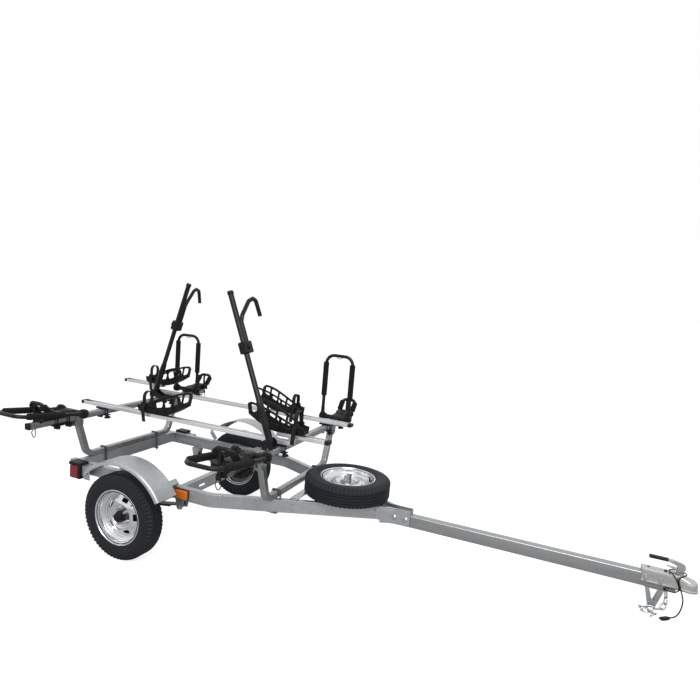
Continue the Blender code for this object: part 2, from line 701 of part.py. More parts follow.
def axle_and_springs():
    """A square beam with turned spindles, under two packs of three leaves each."""
    half = AXLE_BEAM / 2
    end = WHEEL_Y - 0.062
    beam = box(-half, half, -end, end, -half, half)
    spindles = [rod((0, side * (end - 0.01), 0), (0, side * (WHEEL_Y + 0.020), 0), SPINDLE_RADIUS, sides=12)
                for side in (-1, 1)]
    part("axle_beam", fused(beam, *spindles), material("galvanised_axle", GALVANISED, 0.4, 0.85), axle)
    steel = material("spring_steel", GALVANISED, 0.5, 0.8)
    leaves = []
    for number, share in enumerate((1.0, 0.72, 0.44)):
        level = SPRING_SEAT + (2 - number) * (LEAF - 0.0001)
        sag = [SPRING_HALF * share * step / 2 for step in range(-2, 3)]
        path = [(x, -SPRING_Y, level + LEAF / 2 + SPRING_RISE * (x / SPRING_HALF) ** 2) for x in sag]
        wide = SPRING_WIDTH / 2 - 0.0005 * number
        leaves.append(sweep(path, flat_section(wide, LEAF)))
    pack = fused(*leaves)
    part("leaf_spring_left", mirrored(pack), steel, trailer)
    part("leaf_spring_right", pack, steel, trailer)


def fender(name, side):
    """A sheet arc, flat across, whose outer edge is rolled down."""
    wide = FENDER_OUTER - FENDER_INNER
    t = FENDER_SHEET
    section = [(0.0, 0.0), (wide - 0.016, 0.0), (wide - 0.005, -0.006), (wide, -0.022),
               (wide - t, -0.022), (wide - 0.005 - t, -0.007), (wide - 0.017, -t), (0.0, -t)]
    start, stop = FENDER_ARC
    arc = [math.radians(stop + (start - stop) * step / FENDER_STEPS) for step in range(FENDER_STEPS + 1)]
    path = [(FENDER_X + FENDER_RADIUS * math.cos(angle), 0.0,
             TYRE_RADIUS + FENDER_RADIUS * math.sin(angle)) for angle in arc]
    right = moved(sweep(path, section), shift(y=-FENDER_INNER))
    made = moved(right, Matrix.Diagonal((1, -1, 1, 1))) if side > 0 else right
    part(name, smooth(made, 25), material("galvanised_" + name, GALVANISED, 0.42, 0.85), trailer)


def fender_bracket(angle):
    """A bent strap from the right rail's web out under the fender, square to its arc."""
    chord = math.cos(math.pi / 180 * (FENDER_ARC[1] - FENDER_ARC[0]) / FENDER_STEPS / 2)
    radius = FENDER_RADIUS * chord - FENDER_SHEET - 2 * GAP
    t = 0.004
    face = RAIL_Y - SINK
    outline = [(face, radius - 0.085), (face + t, radius - 0.085), (face + t, radius - 0.02 - t),
               (face + 0.02, radius - t), (FENDER_OUTER - 0.04, radius - t), (FENDER_OUTER - 0.04, radius),
               (face + 0.018, radius), (face, radius - 0.02)]
    strap = upright_plate([(-y, z) for y, z in outline], 0.034, 0.0, "X")
    return moved(strap, shift(FENDER_X, 0.0, TYRE_RADIUS) @ turn(90 - angle, "Y"))


def spring_hanger(x):
    """A folded ear under the right rail with the pin that holds the spring's end."""
    top = RAIL_BOTTOM - GAP
    ear = [(x - 0.033, top - 0.001), (x - 0.018, top - 0.066),
           (x + 0.018, top - 0.066), (x + 0.033, top - 0.001)]
    gap = SPRING_WIDTH / 2 + 0.0015
    bridge = box(x - 0.034, x + 0.034, -gap - 0.002, gap + 0.002, top - 0.004, top)
    under_flange = SPRING_Y - RAIL_Y + RAIL_FLANGE - 0.001
    weld = box(x - 0.032, x + 0.032, -gap - 0.001, under_flange, top - 0.001, RAIL_BOTTOM + SINK)
    walls = [upright_plate(ear, 0.004, side * (gap + 0.002)) for side in (-1, 1)]
    pin = rod((x, -gap - 0.008, HANGER_PIN_Z), (x, gap + 0.008, HANGER_PIN_Z), HANGER_PIN, sides=6)
    return moved(fused(bridge, weld, *walls, pin), shift(y=-SPRING_Y))


def lights():
    """Combination tail lights outboard of the rails, and amber side markers."""
    x0, x1, top, bottom = LIGHT_REAR, LIGHT_REAR + LIGHT_DEEP, LIGHT_TOP, LIGHT_TOP - LIGHT_TALL
    inner, outer = RAIL_Y + GAP, RAIL_Y + GAP + LIGHT_WIDE
    shell = box(x0 + LENS, x1, -outer + LENS, -inner, bottom, top)
    lens = box(x0, x1 - 0.012, -outer, -inner - 0.004, bottom + 0.003, top - 0.018)
    lamp = fused(shell, lens)
    part("tail_light_left", mirrored(lamp), material("red_tail_left", (0.45, 0.01, 0.012), 0.2), trailer)
    part("tail_light_right", lamp, material("red_tail_right", (0.45, 0.01, 0.012), 0.2), trailer)
    x, z, face = MARKER_X, RAIL_TOP - 0.036, RAIL_Y + GAP
    base = box(x - 0.048, x + 0.048, -face - 0.006, -face, z - 0.029, z + 0.029)
    cover = box(x - 0.045, x + 0.045, -face - 0.022, -face - 0.005, z - 0.026, z + 0.026)
    marker = fused(base, cover)
    part("side_marker_left", mirrored(marker), material("amber_left", (0.80, 0.22, 0.01), 0.2), trailer)
    part("side_marker_right", marker, material("amber_right", (0.80, 0.22, 0.01), 0.2), trailer)


def upright(name, x, bolt_y, plate_out):
    """A square tube bent up at both ends, with its U-bolts and load bar plates."""
    bend = 90 - UPRIGHT_SPLAY
    z = RAIL_TOP + GAP + TUBE / 2
    corner = UPRIGHT_BASE + UPRIGHT_BEND * math.tan(math.radians(bend) / 2)
    slope = math.tan(math.radians(UPRIGHT_SPLAY))
    top = BAR_BOTTOM - GAP
    over = top + 0.03
    lean = (over - z) * slope
    points = [(x, -corner - lean, over), (x, -corner, z), (x, corner, z), (x, corner + lean, over)]
    path = rounded(points, UPRIGHT_BEND, 3)
    outer = sweep(path, square_section(TUBE))
    inner = sweep(path, square_section(TUBE - 2 * TUBE_WALL))
    made = cut(outer, inner, box(x - 0.1, x + 0.1, -1.0, 1.0, top, over + 0.1))
    head_y = corner + (top - z) * slope
    fittings = []
    for side in (-1, 1):
        fittings += bar_plates(x, side * head_y)
        fittings.append(square_u_bolt(x, side * bolt_y, plate_out))
    part(name, fused(made, *fittings), material("galvanised_" + name, GALVANISED, 0.38, 0.85), trailer)


def bar_plates(x, y):
    """Two plates over the load bar and the upright, on a bolt through each."""
    inner = TUBE / 2 + GAP
    bottom = BAR_BOTTOM - 0.045
    outline = [(y - 0.030, bottom + 0.012), (y - 0.018, bottom), (y + 0.018, bottom),
               (y + 0.030, bottom + 0.012), (y + 0.030, BAR_TOP), (y - 0.030, BAR_TOP)]
    plates = [upright_plate(outline, 0.004, x + face * (inner + 0.002), "X") for face in (-1, 1)]
    reach = inner + 0.009
    bolts = [rod((x - reach, y, z), (x + reach, y, z), BAR_BOLT, sides=6)
             for z in (BAR_Z, BAR_BOTTOM - 0.022)]
    return plates + bolts


def square_u_bolt(x, y, plate_out):
    """A square U-bolt over the upright's base, through a plate under the frame."""
    wire = 0.004
    half = TUBE / 2 + wire + 0.0035
    side = 1 if y > 0 else -1
    crown = RAIL_TOP + GAP + TUBE + wire - 2 * SINK
    low = RAIL_BOTTOM - 0.018
    points = [(x - half, y, low), (x - half, y, crown), (x + half, y, crown), (x + half, y, low)]
    loop = tube(rounded(points, 0.007, 1), wire, resolution=1)
    ends = sorted((y - side * 0.014, y + side * plate_out))
    foot = box(x - 0.036, x + 0.036, *ends, RAIL_BOTTOM - GAP - 0.005, RAIL_BOTTOM - GAP)
    return fused(loop, foot)


def load_bars():
    """Square tubes with plugged ends and the holes for the upright plates' bolts."""
    half, bore = TUBE / 2, TUBE / 2 - TUBE_WALL
    reach = BAR_LENGTH / 2
    slope = math.tan(math.radians(UPRIGHT_SPLAY))
    corner = UPRIGHT_BASE + UPRIGHT_BEND * math.tan(math.radians(90 - UPRIGHT_SPLAY) / 2)
    bolt_y = corner + (BAR_BOTTOM - GAP - RAIL_TOP - GAP - half) * slope
    for name, x in (("front_load_bar", FRONT_BAR_X), ("rear_load_bar", REAR_BAR_X)):
        tools = [box(x - bore, x + bore, -reach - 0.01, reach + 0.01,
                     BAR_BOTTOM + TUBE_WALL, BAR_TOP - TUBE_WALL)]
        for y in (-bolt_y, bolt_y):
            tools.append(rod((x - 0.1, y, BAR_Z), (x + 0.1, y, BAR_Z), BAR_BOLT + 2 * GAP, sides=6))
        made = cut(box(x - half, x + half, -reach, reach, BAR_BOTTOM, BAR_TOP), *tools)
        caps = [box(x - half, x + half, low, high, BAR_BOTTOM, BAR_TOP)
                for low, high in ((-reach - 0.006, -reach + SINK), (reach - SINK, reach + 0.006))]
        part(name, fused(made, *caps), material("galvanised_" + name, GALVANISED, 0.36, 0.85), trailer)


def tray_box(x0, x1, y, z):
    """A shallow aluminium channel, open upward, with a rib along its floor."""
    x0, x1 = sorted((x0, x1))
    half = TRAY_WIDTH / 2
    t = TRAY_WALL
    lip = 0.005
    section = [(-half, TRAY_HEIGHT), (-half + lip, TRAY_HEIGHT), (-half + lip, TRAY_HEIGHT - t),
               (-half + t, TRAY_HEIGHT - t), (-half + t, t), (half - t, t), (half - t, TRAY_HEIGHT - t),
               (half - lip, TRAY_HEIGHT - t), (half - lip, TRAY_HEIGHT), (half, TRAY_HEIGHT), (half, 0),
               (-half, 0)]
    return sweep([(x0, y, z), (x1, y, z)], section)


def bike_trays():
    """Each tray is a main channel, a raised stub over its base end and black end caps."""
    for word, (y, base_end, far_end, stub_end) in TRAYS.items():
        main = tray_box(base_end, far_end, y, TRAY_Z)
        out = 1 if stub_end > 0 else -1
        stub = tray_box(base_end - out * STUB_LAP, stub_end, y, TRAY_Z + TRAY_STEP)
        riser_x = base_end - out * 0.012
        half = TRAY_WIDTH / 2
        riser = box(riser_x - 0.010, riser_x + 0.010, y - half + 0.003, y + half - 0.003,
                    TRAY_Z + TRAY_WALL - SINK, TRAY_Z + TRAY_STEP + SINK)
        caps = []
        for end, level in ((far_end, TRAY_Z), (stub_end, TRAY_Z + TRAY_STEP)):
            way_out = 1 if end > 0 else -1
            caps.append(box(*sorted((end - way_out * SINK, end + way_out * 0.012)), y - half - 0.001,
                            y + half + 0.001, level - 0.001, level + TRAY_HEIGHT + 0.001))
        aluminium = material("aluminium_tray_" + word, ALUMINIUM, 0.3, 0.8)
        part("bike_tray_" + word, fused(main, stub, riser, *caps), aluminium, trailer)


def star_knob(x, y, top):
    """A three-lobed knob hanging on its stem, its top at the given height."""
    lobes = [(reach * math.cos(angle), reach * math.sin(angle))
             for angle, reach in ((math.tau * step / 6, 0.012 if step % 2 else 0.023) for step in range(6))]
    return moved(plate(lobes, 0.014), shift(x, y, top - 0.007))


def tray_clamps():
    """Plates between the trays and the load bars, with a bar and knobs beneath."""
    for word, (y, *rest) in TRAYS.items():
        for end, x in (("rear", REAR_BAR_X), ("front", FRONT_BAR_X)):
            top = box(x - 0.045, x + 0.045, y - 0.032, y + 0.032, BAR_TOP + GAP, BAR_TOP + GAP + TRAY_PLATE)
            under = box(x - 0.042, x + 0.042, y - 0.020, y + 0.020,
                        BAR_BOTTOM - GAP - 0.006, BAR_BOTTOM - GAP)
            stems = [rod((x + side * 0.030, y, BAR_BOTTOM - 0.016), (x + side * 0.030, y, BAR_TOP + 0.006),
                         0.004, sides=4, twist=45) for side in (-1, 1)]
            knobs = [star_knob(x + side * 0.030, y, BAR_BOTTOM - 0.012) for side in (-1, 1)]
            finish = material("black_clamp", BLACK_PLASTIC, 0.5)
            part("tray_clamp_" + end + "_" + word, fused(top, under, *stems, *knobs), finish, trailer)


def wheel_holder(x, y, high):
    """A V trough of two ladder walls on a keel: it rises toward one end, to hold a tyre."""
    half = WHEEL_HOLDER / 2
    floor = TRAY_Z + TRAY_HEIGHT + GAP
    rim_low, rim_high = floor + 0.055, floor + 0.160
    outline = [(-half, floor + 0.012), (-half + 0.02, floor), (half - 0.02, floor), (half, floor + 0.040),
               (half - 0.004, rim_high), (half - 0.034, rim_high - 0.004), (half * 0.35, rim_low + 0.032),
               (-half * 0.25, rim_low + 0.004), (-half + 0.02, rim_low + 0.010), (-half, rim_low - 0.004)]
    holes = []
    windows = 3
    for step in range(windows):
        x0 = -half + 0.040 + step * (WHEEL_HOLDER - 0.075) / windows
        x1 = x0 + (WHEEL_HOLDER - 0.075) / windows - 0.018
        lift = 0.010 + 0.016 * step
        holes.append([(x0, floor + 0.016), (x1, floor + 0.016), (x1, floor + 0.030 + lift),
                      (x0, floor + 0.026 + lift)])
    walls = []
    for side in (-1, 1):
        wall = plate(outline, 0.006, holes)
        wall = moved(wall, turn(90, "X"))
        slope = Matrix.Identity(4)
        slope[1][2] = side * HOLDER_FLARE
        slope[1][3] = side * (TRAY_WIDTH / 2 - 0.004 - HOLDER_FLARE * floor)
        walls.append(moved(wall, slope))
    side = TRAY_WIDTH / 2
    keel = box(-half + 0.02, half - 0.02, -side + 0.002, side - 0.002, floor, floor + 0.008)
    end = box(half - 0.012, half - 0.006, -side - 0.002, side + 0.002, floor + 0.004, floor + 0.070)
    made = fused(walls[0], walls[1], keel, end, wheel_strap(-half + 0.055, floor))
    if high < 0:
        made = moved(made, Matrix.Diagonal((-1, 1, 1, 1)))
    return moved(made, shift(x, y))


def wheel_holders():
    for word, (x, y, high) in HOLDERS.items():
        lift = TRAY_STEP if word in ("right_front", "left_rear") else 0.0
        plastic = material("black_holder_" + word, BLACK_PLASTIC, 0.5)
        part("wheel_holder_" + word, moved(wheel_holder(x, y, high), shift(z=lift)), plastic, trailer)


def wheel_strap(x, floor):
    """A band that arches over the wheel's place from wall to wall of its holder."""
    half = TRAY_WIDTH / 2 - 0.004 + HOLDER_FLARE * 0.050
    crown = floor + STRAP_ARCH
    points = [(x, -half, floor + 0.046)]
    for step in range(5):
        angle = math.pi * step / 4
        points.append((x, -half * math.cos(angle), crown - half + half * math.sin(angle)))
    points.append((x, half, floor + 0.046))
    return sweep(points, flat_section(0.011, 0.003))


def arm_bases():
    """Forked feet beside the trays: two cheeks, a floor and the pivot pin."""
    for word, (x, y, lean) in ARMS.items():
        way = -1 if lean < 0 else 1
        cheek = [(-way * 0.035, TRAY_Z - SINK), (-way * 0.030, TRAY_Z + 0.030),
                 (-way * 0.012, TRAY_Z + 0.044), (way * 0.014, TRAY_Z + 0.040),
                 (way * 0.060, TRAY_Z + 0.014), (way * 0.075, TRAY_Z - SINK)]
        walls = [upright_plate(cheek, 0.006, side * CHEEK) for side in (-1, 1)]
        floor = box(*sorted((-way * 0.035, way * 0.075)), -CHEEK - 0.003, CHEEK + 0.003,
                    BAR_TOP + GAP, TRAY_Z)
        pin = rod((0, -CHEEK - 0.008, ARM_Z), (0, CHEEK + 0.003, ARM_Z), ARM_PIN, sides=8)
        made = moved(fused(floor, walls[0], walls[1], pin), shift(x, y))
        part("arm_base_" + word, made, material("black_arm_base_" + word, BLACK_PLASTIC, 0.5), trailer)


def hook_path(way):
    """Up beside the mast, away from it, over the crest and down to the tip."""
    points = [(0.0, HOOK_SIDE, 0.010), (0.0, HOOK_SIDE, 0.150), (way * 0.006, HOOK_SIDE + 0.020, 0.190),
              (way * 0.030, 0.120, 0.268), (way * 0.040, 0.157, 0.282), (way * 0.036, 0.190, 0.268),
              (way * 0.020, 0.222, 0.180)]
    return rounded(points, 0.018, 2)


def arms():
    """Each arm is a mast on its pivot and a hook that slides along it in a clamp."""
    for word, (x, y, lean) in ARMS.items():
        way = 1 if lean < 0 else -1
        arm = empty("arm_" + word, (x, y, ARM_Z), trailer, (0.0, math.radians(lean), 0.0))
        coat = material("black_mast_" + word, BLACK_COAT, 0.35, 0.3)
        shoe = rod((0, 0, -0.012), (0, 0, SHOE_LENGTH), MAST_SHOE, sides=10)
        pole = rod((0, 0, SHOE_LENGTH - 0.01), (0, 0, MAST_LENGTH), MAST_RADIUS, sides=10)
        cap = rod((0, 0, MAST_LENGTH - 0.001), (0, 0, MAST_LENGTH + 0.014), MAST_RADIUS + 0.0025, sides=10)
        bore = rod((0, -0.05, 0), (0, 0.05, 0), ARM_PIN + 2 * GAP, sides=8)
        hollow = rod((0, 0, -0.004), (0, 0, MAST_LENGTH - 0.002), MAST_RADIUS - TUBE_WALL, sides=8)
        part("mast_" + word, smooth(cut(fused(shoe, pole, cap), bore, hollow)), coat, arm)
        slide = empty("hook_slide_" + word, (0.0, 0.0, CLAMP_HEIGHT), arm)
        block = cut(fused(box(-0.027, 0.027, -0.027, 0.046, -0.026, 0.026),
                          tube(hook_path(way), HOOK_RADIUS, resolution=1)),
                    rod((0, 0, -0.05), (0, 0, 0.05), MAST_RADIUS + 2 * GAP, sides=10))
        part("hook_" + word, smooth(block), material("black_hook_" + word, BLACK_COAT, 0.35, 0.3), slide)


def cradle_base():
    """The fixed half of a kayak cradle, for the left side: X along the trailer, Y outward."""
    floor = BAR_TOP + GAP - HUB_Z
    inner = HOOP_HALF - KNUCKLE_WIDTH / 2 - 0.0010
    barrel = rod((-inner, 0, 0), (inner, 0, 0), 0.020, sides=8)
    pin = rod((-HOOP_HALF - 0.018, 0, 0), (HOOP_HALF + 0.018, 0, 0), HINGE_PIN, sides=6)
    outline = [(-0.022, floor), (-0.020, 0.010), (0.0, 0.020), (0.090, 0.018), (0.145, 0.026),
               (0.215, 0.022), (0.245, floor)]
    saddle = upright_plate(outline, 0.074, 0.0, "X")
    under_top = -HUB_LIFT - TUBE / 2 - GAP
    under = box(-0.040, 0.040, 0.020, 0.160, under_top - 0.006, under_top)
    stems = [rod((0.029, y, under_top - 0.012), (0.029, y, 0.0), 0.004, sides=4, twist=45)
             for y in (0.045, 0.130)]
    jaw = box(-0.036, -TUBE / 2 - GAP, 0.030, 0.150, under_top - 0.003, 0.0)
    knobs = [star_knob(0.029, y, under_top - 0.010) for y in (0.045, 0.130)]
    ears = box(-SHORT_HALF - 0.014, SHORT_HALF + 0.014, SHORT_FOOT - 0.016, SHORT_FOOT + 0.016, -0.012, 0.014)
    points = [(-SHORT_HALF, SHORT_FOOT, 0.0), (-SHORT_HALF, SHORT_FOOT + 0.080, 0.116),
              (SHORT_HALF, SHORT_FOOT + 0.080, 0.116), (SHORT_HALF, SHORT_FOOT, 0.0)]
    arm = tube(rounded(points, 0.030, 1), HOOP_TUBE, resolution=1)
    lean = Vector((0.0, 0.080, 0.116)).normalized()
    pads = []
    for side in (-1, 1):
        foot = Vector((side * SHORT_HALF, SHORT_FOOT, 0.0))
        pads.append(rod(foot + lean * 0.030, foot + lean * 0.098, PAD_RADIUS, sides=6))
    return fused(saddle, barrel, pin, under, jaw, *stems, *knobs, ears, arm, *pads)


def cradle_hoop(name, body):
    """A tall padded hoop whose two knuckles turn on the base's pin."""
    points = [(-HOOP_HALF, 0, 0.0), (-HOOP_HALF, 0, HOOP_TALL),
              (HOOP_HALF, 0, HOOP_TALL), (HOOP_HALF, 0, 0.0)]
    hoop = tube(rounded(points, HOOP_CORNER, 2), HOOP_TUBE, resolution=1)
    half = KNUCKLE_WIDTH / 2
    ends = [rod((side * HOOP_HALF - half, 0, 0), (side * HOOP_HALF + half, 0, 0), KNUCKLE, sides=10)
            for side in (-1, 1)]
    pads = [rod((side * HOOP_HALF, 0, PAD_FROM), (side * HOOP_HALF, 0, PAD_TO), PAD_RADIUS, sides=6)
            for side in (-1, 1)]
    bore = rod((-HOOP_HALF - 0.05, 0, 0), (HOOP_HALF + 0.05, 0, 0), HINGE_PIN * 1.16 + GAP, sides=8)
    made = cut(fused(hoop, *ends, *pads), bore)
    part("hoop_" + name, smooth(made), material("black_hoop_" + name, BLACK_COAT, 0.4, 0.3), body)


def kayak_cradles():
    for name, (x, side, hub_y, fold) in CRADLES.items():
        place = shift(x, side * hub_y, HUB_Z) @ Matrix.Diagonal((1, side, 1, 1))
        finish = material("black_base_" + name, BLACK_PLASTIC, 0.45)
        part("cradle_base_" + name, moved(cradle_base(), place), finish, trailer)
        folded = (math.radians(-side * fold), 0.0, 0.0)
        body = empty("cradle_" + name, (x, side * hub_y, HUB_Z), trailer, folded)
        cradle_hoop(name, body)


def chain_link(centre, along, flat):
    """One link: its long axis follows `along`, its plane holds `flat`."""
    straight = (LINK_LONG - LINK_WIDE) / 2
    reach = (LINK_WIDE - LINK_WIRE) / 2
    points = []
    for end in (1, -1):
        for step in range(4):
            angle = math.pi * step / 3
            out, across = math.sin(angle), math.cos(angle)
            points.append(centre + along * end * (straight + reach * out) + flat * end * across * reach)
    return tube(points, LINK_WIRE / 2, cyclic=True, resolution=0)


def smooth_route(points, step):
    """Places at even steps along a smooth curve through the points."""
    ends = [2 * Vector(points[0]) - Vector(points[1]), *map(Vector, points),
            2 * Vector(points[-1]) - Vector(points[-2])]
    fine = []
    for a, b, c, d in zip(ends, ends[1:], ends[2:], ends[3:]):
        for part_way in range(24):
            t = part_way / 24
            fine.append(0.5 * (2 * b + (c - a) * t + (2 * a - 5 * b + 4 * c - d) * t * t
                               + (3 * b - a - 3 * c + d) * t ** 3))
    fine.append(ends[-2])
    route, travelled, target = [fine[0]], 0.0, step
    for here, there in zip(fine, fine[1:]):
        length = (there - here).length
        while travelled + length >= target:
            route.append(here.lerp(there, (target - travelled) / length))
            target += step
        travelled += length
    return route


def safety_chain():
    """Links from the tongue's underside down to a run that winds on the ground."""
    pitch = LINK_LONG - 2 * LINK_WIRE + LINK_HOLD
    route = smooth_route(CHAIN_ROUTE, pitch / 8)[::8]
    links = []
    for number, (here, there) in enumerate(zip(route, route[1:])):
        along = (there - here).normalized()
        level = along.cross(Vector((0, 0, 1)))
        level = level.normalized() if level.length > 0.2 else Vector((0, 1, 0))
        flat = Quaternion(along, math.radians(45 if number % 2 else -45)) @ level
        links.append(chain_link((here + there) / 2, along, flat))
    steel = material("zinc_chain", ZINC, 0.3, 0.95)
    part("safety_chain", fused(*links), steel, None)


def lead_points():
    """The lead's centre line, with its last point where the plug begins."""
    return smooth_route(LEAD_ROUTE, 3 * LEAD_RADIUS * 2)[:-1] + [Vector(LEAD_ROUTE[-1])]


def wiring_lead():
    """The four-way lead from the tongue's grommet round the latch post to its flat plug."""
    lead = tube([tuple(point) for point in lead_points()], LEAD_RADIUS, resolution=1)
    part("wiring_lead", smooth(lead, 60), material("black_lead", RUBBER, 0.6), None)


def flat_plug():
    """The flat moulded plug on the lead's end, lying on the ground."""
    before, end = lead_points()[-2:]
    aim = math.degrees(math.atan2(end.y - before.y, end.x - before.x))
    outline = [(GAP, -0.005), (0.012, -0.0115), (PLUG_LENGTH, -0.0115),
               (PLUG_LENGTH, 0.0115), (0.012, 0.0115), (GAP, 0.005)]
    made = moved(plate(outline, 0.011), Matrix.Translation(end) @ shift(z=-0.0002) @ turn(aim, "Z"))
    part("flat_plug", made, material("black_plug", RUBBER, 0.5), None)


side_rails()
crossmember("rear_crossmember", REAR_BAR_X, ())
crossmember("middle_crossmember", MIDDLE_X, (-0.28, 0.0, 0.28))
spare_carrier()
tongue_and_splice()
coupler()
coupler_latch()
tongue_stand()
wheels()
axle_and_springs()
fender("fender_left", 1)
fender("fender_right", -1)
lights()
upright("front_upright", FRONT_BAR_X, 0.268, 0.060)
upright("rear_upright", REAR_BAR_X, 0.250, 0.014)
load_bars()
bike_trays()
tray_clamps()
wheel_holders()
arm_bases()
arms()
kayak_cradles()
safety_chain()
wiring_lead()
flat_plug()
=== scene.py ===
# %% [markdown]
# # A kayak and bike trailer in a bright studio
# The trailer arrives as plain CAD solids, one for each part.  This notebook loads them as a fixed
# frame and makes finer pieces over them: tread, pressed rims, moulded ladders, foam sleeves.
# Every piece rides on a CAD body, so the trailer still rolls, folds and latches afterwards.

# %% Load the CAD frame
import json
import math

import bmesh
import bpy
from mathutils import Matrix, Quaternion, Vector


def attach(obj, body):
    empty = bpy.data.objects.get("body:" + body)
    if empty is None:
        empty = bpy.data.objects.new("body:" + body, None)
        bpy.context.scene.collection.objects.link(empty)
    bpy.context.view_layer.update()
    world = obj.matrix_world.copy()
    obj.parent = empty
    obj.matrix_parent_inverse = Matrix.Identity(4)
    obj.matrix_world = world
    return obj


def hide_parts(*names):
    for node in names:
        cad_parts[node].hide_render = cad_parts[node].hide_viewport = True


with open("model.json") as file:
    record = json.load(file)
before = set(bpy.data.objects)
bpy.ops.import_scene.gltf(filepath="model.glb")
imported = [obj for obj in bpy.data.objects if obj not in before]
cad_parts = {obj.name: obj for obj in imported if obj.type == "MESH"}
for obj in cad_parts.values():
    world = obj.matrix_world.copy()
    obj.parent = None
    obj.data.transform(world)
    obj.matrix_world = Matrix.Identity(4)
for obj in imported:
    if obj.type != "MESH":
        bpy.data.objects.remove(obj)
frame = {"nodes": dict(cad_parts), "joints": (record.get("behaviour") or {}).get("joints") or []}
NODES = frame["nodes"]
JOINTS = {joint["name"]: joint for joint in frame["joints"]}
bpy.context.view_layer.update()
print("CAD nodes:", len(NODES), "joints:", len(JOINTS))

# %% [markdown]
# ## Level and parked places
# The maker drew the trailer level, with the axle at x = 0.  Parked, it stands nose down on its
# tongue stand.  Working in level coordinates keeps every rail and bar square, so the pieces are
# made there and one matrix carries them to the parked place that the joints of the frame tell.

# %% The matrix from level to parked
TYRE_RADIUS = 0.259
AXLE_X, _, AXLE_Z = JOINTS["wheel_left_spin"]["pos_m"]
PITCH = math.asin(JOINTS["axle_suspension"]["axis"][0])


def shift(x=0.0, y=0.0, z=0.0):
    return Matrix.Translation((x, y, z))


def turn(degrees, axis):
    return Matrix.Rotation(math.radians(degrees), 4, axis)


def add_object(name, data):
    """A new object in the scene, made around its data."""
    item = bpy.data.objects.new(name, data)
    bpy.context.scene.collection.objects.link(item)
    return item


PARKED = shift(AXLE_X, 0, AXLE_Z) @ Matrix.Rotation(PITCH, 4, "Y") @ shift(z=-TYRE_RADIUS)
MIRROR = Matrix.Diagonal((1, -1, 1, 1))
print("nose-down angle:", round(math.degrees(PITCH), 2))

# %% [markdown]
# ## The camera
# The photograph was taken from the right, a little above the load bars, with a short lens: the far
# wheel is much smaller than the near one.  Lens, place and the small shifts were solved from the
# known sizes of the tyres, the load bars and the tongue.

# %% Camera
camera_data = bpy.data.cameras.new("studio_camera")
camera_data.lens = 28.1
camera_data.sensor_width = 36.0
camera_data.shift_x = 0.0225
camera_data.shift_y = 0.0307
camera_data.clip_end = 200.0
camera = add_object("studio_camera", camera_data)
camera.location = (AXLE_X + 2.39, -2.992, 1.445)
camera.rotation_euler = (math.radians(90 - 6.075), 0.0, math.radians(23.469))
bpy.context.scene.camera = camera

# %% [markdown]
# ## Shader maths in plain Python
# A finish varies over its surface: crystals on zinc, dust on rubber, grain in plastic.  Each of
# these is a sum of a few node outputs.  Wrapping a socket in a small class lets the sums be
# written as expressions, and each operator adds the Math node that does it.


# %% Values and finishes
class Value:
    """A number that varies over a surface: one output socket in a finish's node tree."""

    def __init__(self, finish, socket):
        self.finish = finish
        self.socket = socket

    def maths(self, operation, first, second):
        return self.finish.node("ShaderNodeMath", {"operation": operation}, {0: first, 1: second})

    def __add__(self, other):
        return self.maths("ADD", self, other)

    def __mul__(self, other):
        return self.maths("MULTIPLY", self, other)

    def power(self, exponent):
        return self.maths("POWER", self, exponent)

    __radd__ = __add__
    __rmul__ = __mul__


class Finish:
    """A procedural material with one Principled shader, and the record's slot that it is for."""

    def __init__(self, name, colour, roughness, metallic=0.0, slot="", **constants):
        self.slot = slot
        self.material = bpy.data.materials.new(name)
        self.material.use_nodes = True
        self.nodes = self.material.node_tree.nodes
        self.links = self.material.node_tree.links
        self.shader = self.nodes["Principled BSDF"]
        self.set("Base Color", (*colour, 1.0))
        self.set("Roughness", roughness)
        self.set("Metallic", metallic)
        for socket, value in constants.items():
            self.set(socket.replace("_", " "), value)

    def set(self, socket, value):
        self.shader.inputs[socket].default_value = value

    def node(self, kind, settings=None, inputs=None, output=0):
        """Any node: its settings first, then the values or links of its sockets."""
        made = self.nodes.new(kind)
        for name, setting in (settings or {}).items():
            setattr(made, name, setting)
        for name, value in (inputs or {}).items():
            if isinstance(value, Value):
                self.links.new(value.socket, made.inputs[name])
            else:
                made.inputs[name].default_value = value
        return Value(self, made.outputs[output])

    def feed(self, socket, value):
        self.links.new(value.socket, self.shader.inputs[socket])
        return self

    def place(self, stretch=(1, 1, 1)):
        """Where a point is on the piece, in metres."""
        spot = self.node("ShaderNodeTexCoord", output="Object")
        return self.node("ShaderNodeMapping", {}, {"Vector": spot, "Scale": stretch})

    def noise(self, scale, detail=2.0, stretch=(1, 1, 1)):
        inputs = {"Vector": self.place(stretch), "Scale": scale, "Detail": detail}
        return self.node("ShaderNodeTexNoise", {}, inputs)

    def crystals(self, scale):
        """Cells of an even grey each, as zinc makes when it sets on steel."""
        inputs = {"Vector": self.place(), "Scale": scale}
        cells = self.node("ShaderNodeTexVoronoi", {}, inputs, output="Color")
        return self.node("ShaderNodeSeparateColor", {}, {"Color": cells})

    def blend(self, share, first, second):
        """A colour between two, by a share that varies."""
        return self.node("ShaderNodeMix", {"data_type": "RGBA"},
                         {0: share, 6: (*first, 1.0), 7: (*second, 1.0)}, output=2)

    def bump(self, height, strength, distance):
        return self.feed("Normal", self.node("ShaderNodeBump", {}, {
            "Height": height, "Strength": strength, "Distance": distance}))


# %% [markdown]
# ## Galvanised and plated steel
# Hot-dip galvanising leaves crystals a few millimetres across and a milky grey; bright zinc
# plating is smoother and whiter.  Both are metals here, but with a roughness that the crystals
# move a little, so that long rails don't look like grey paint.


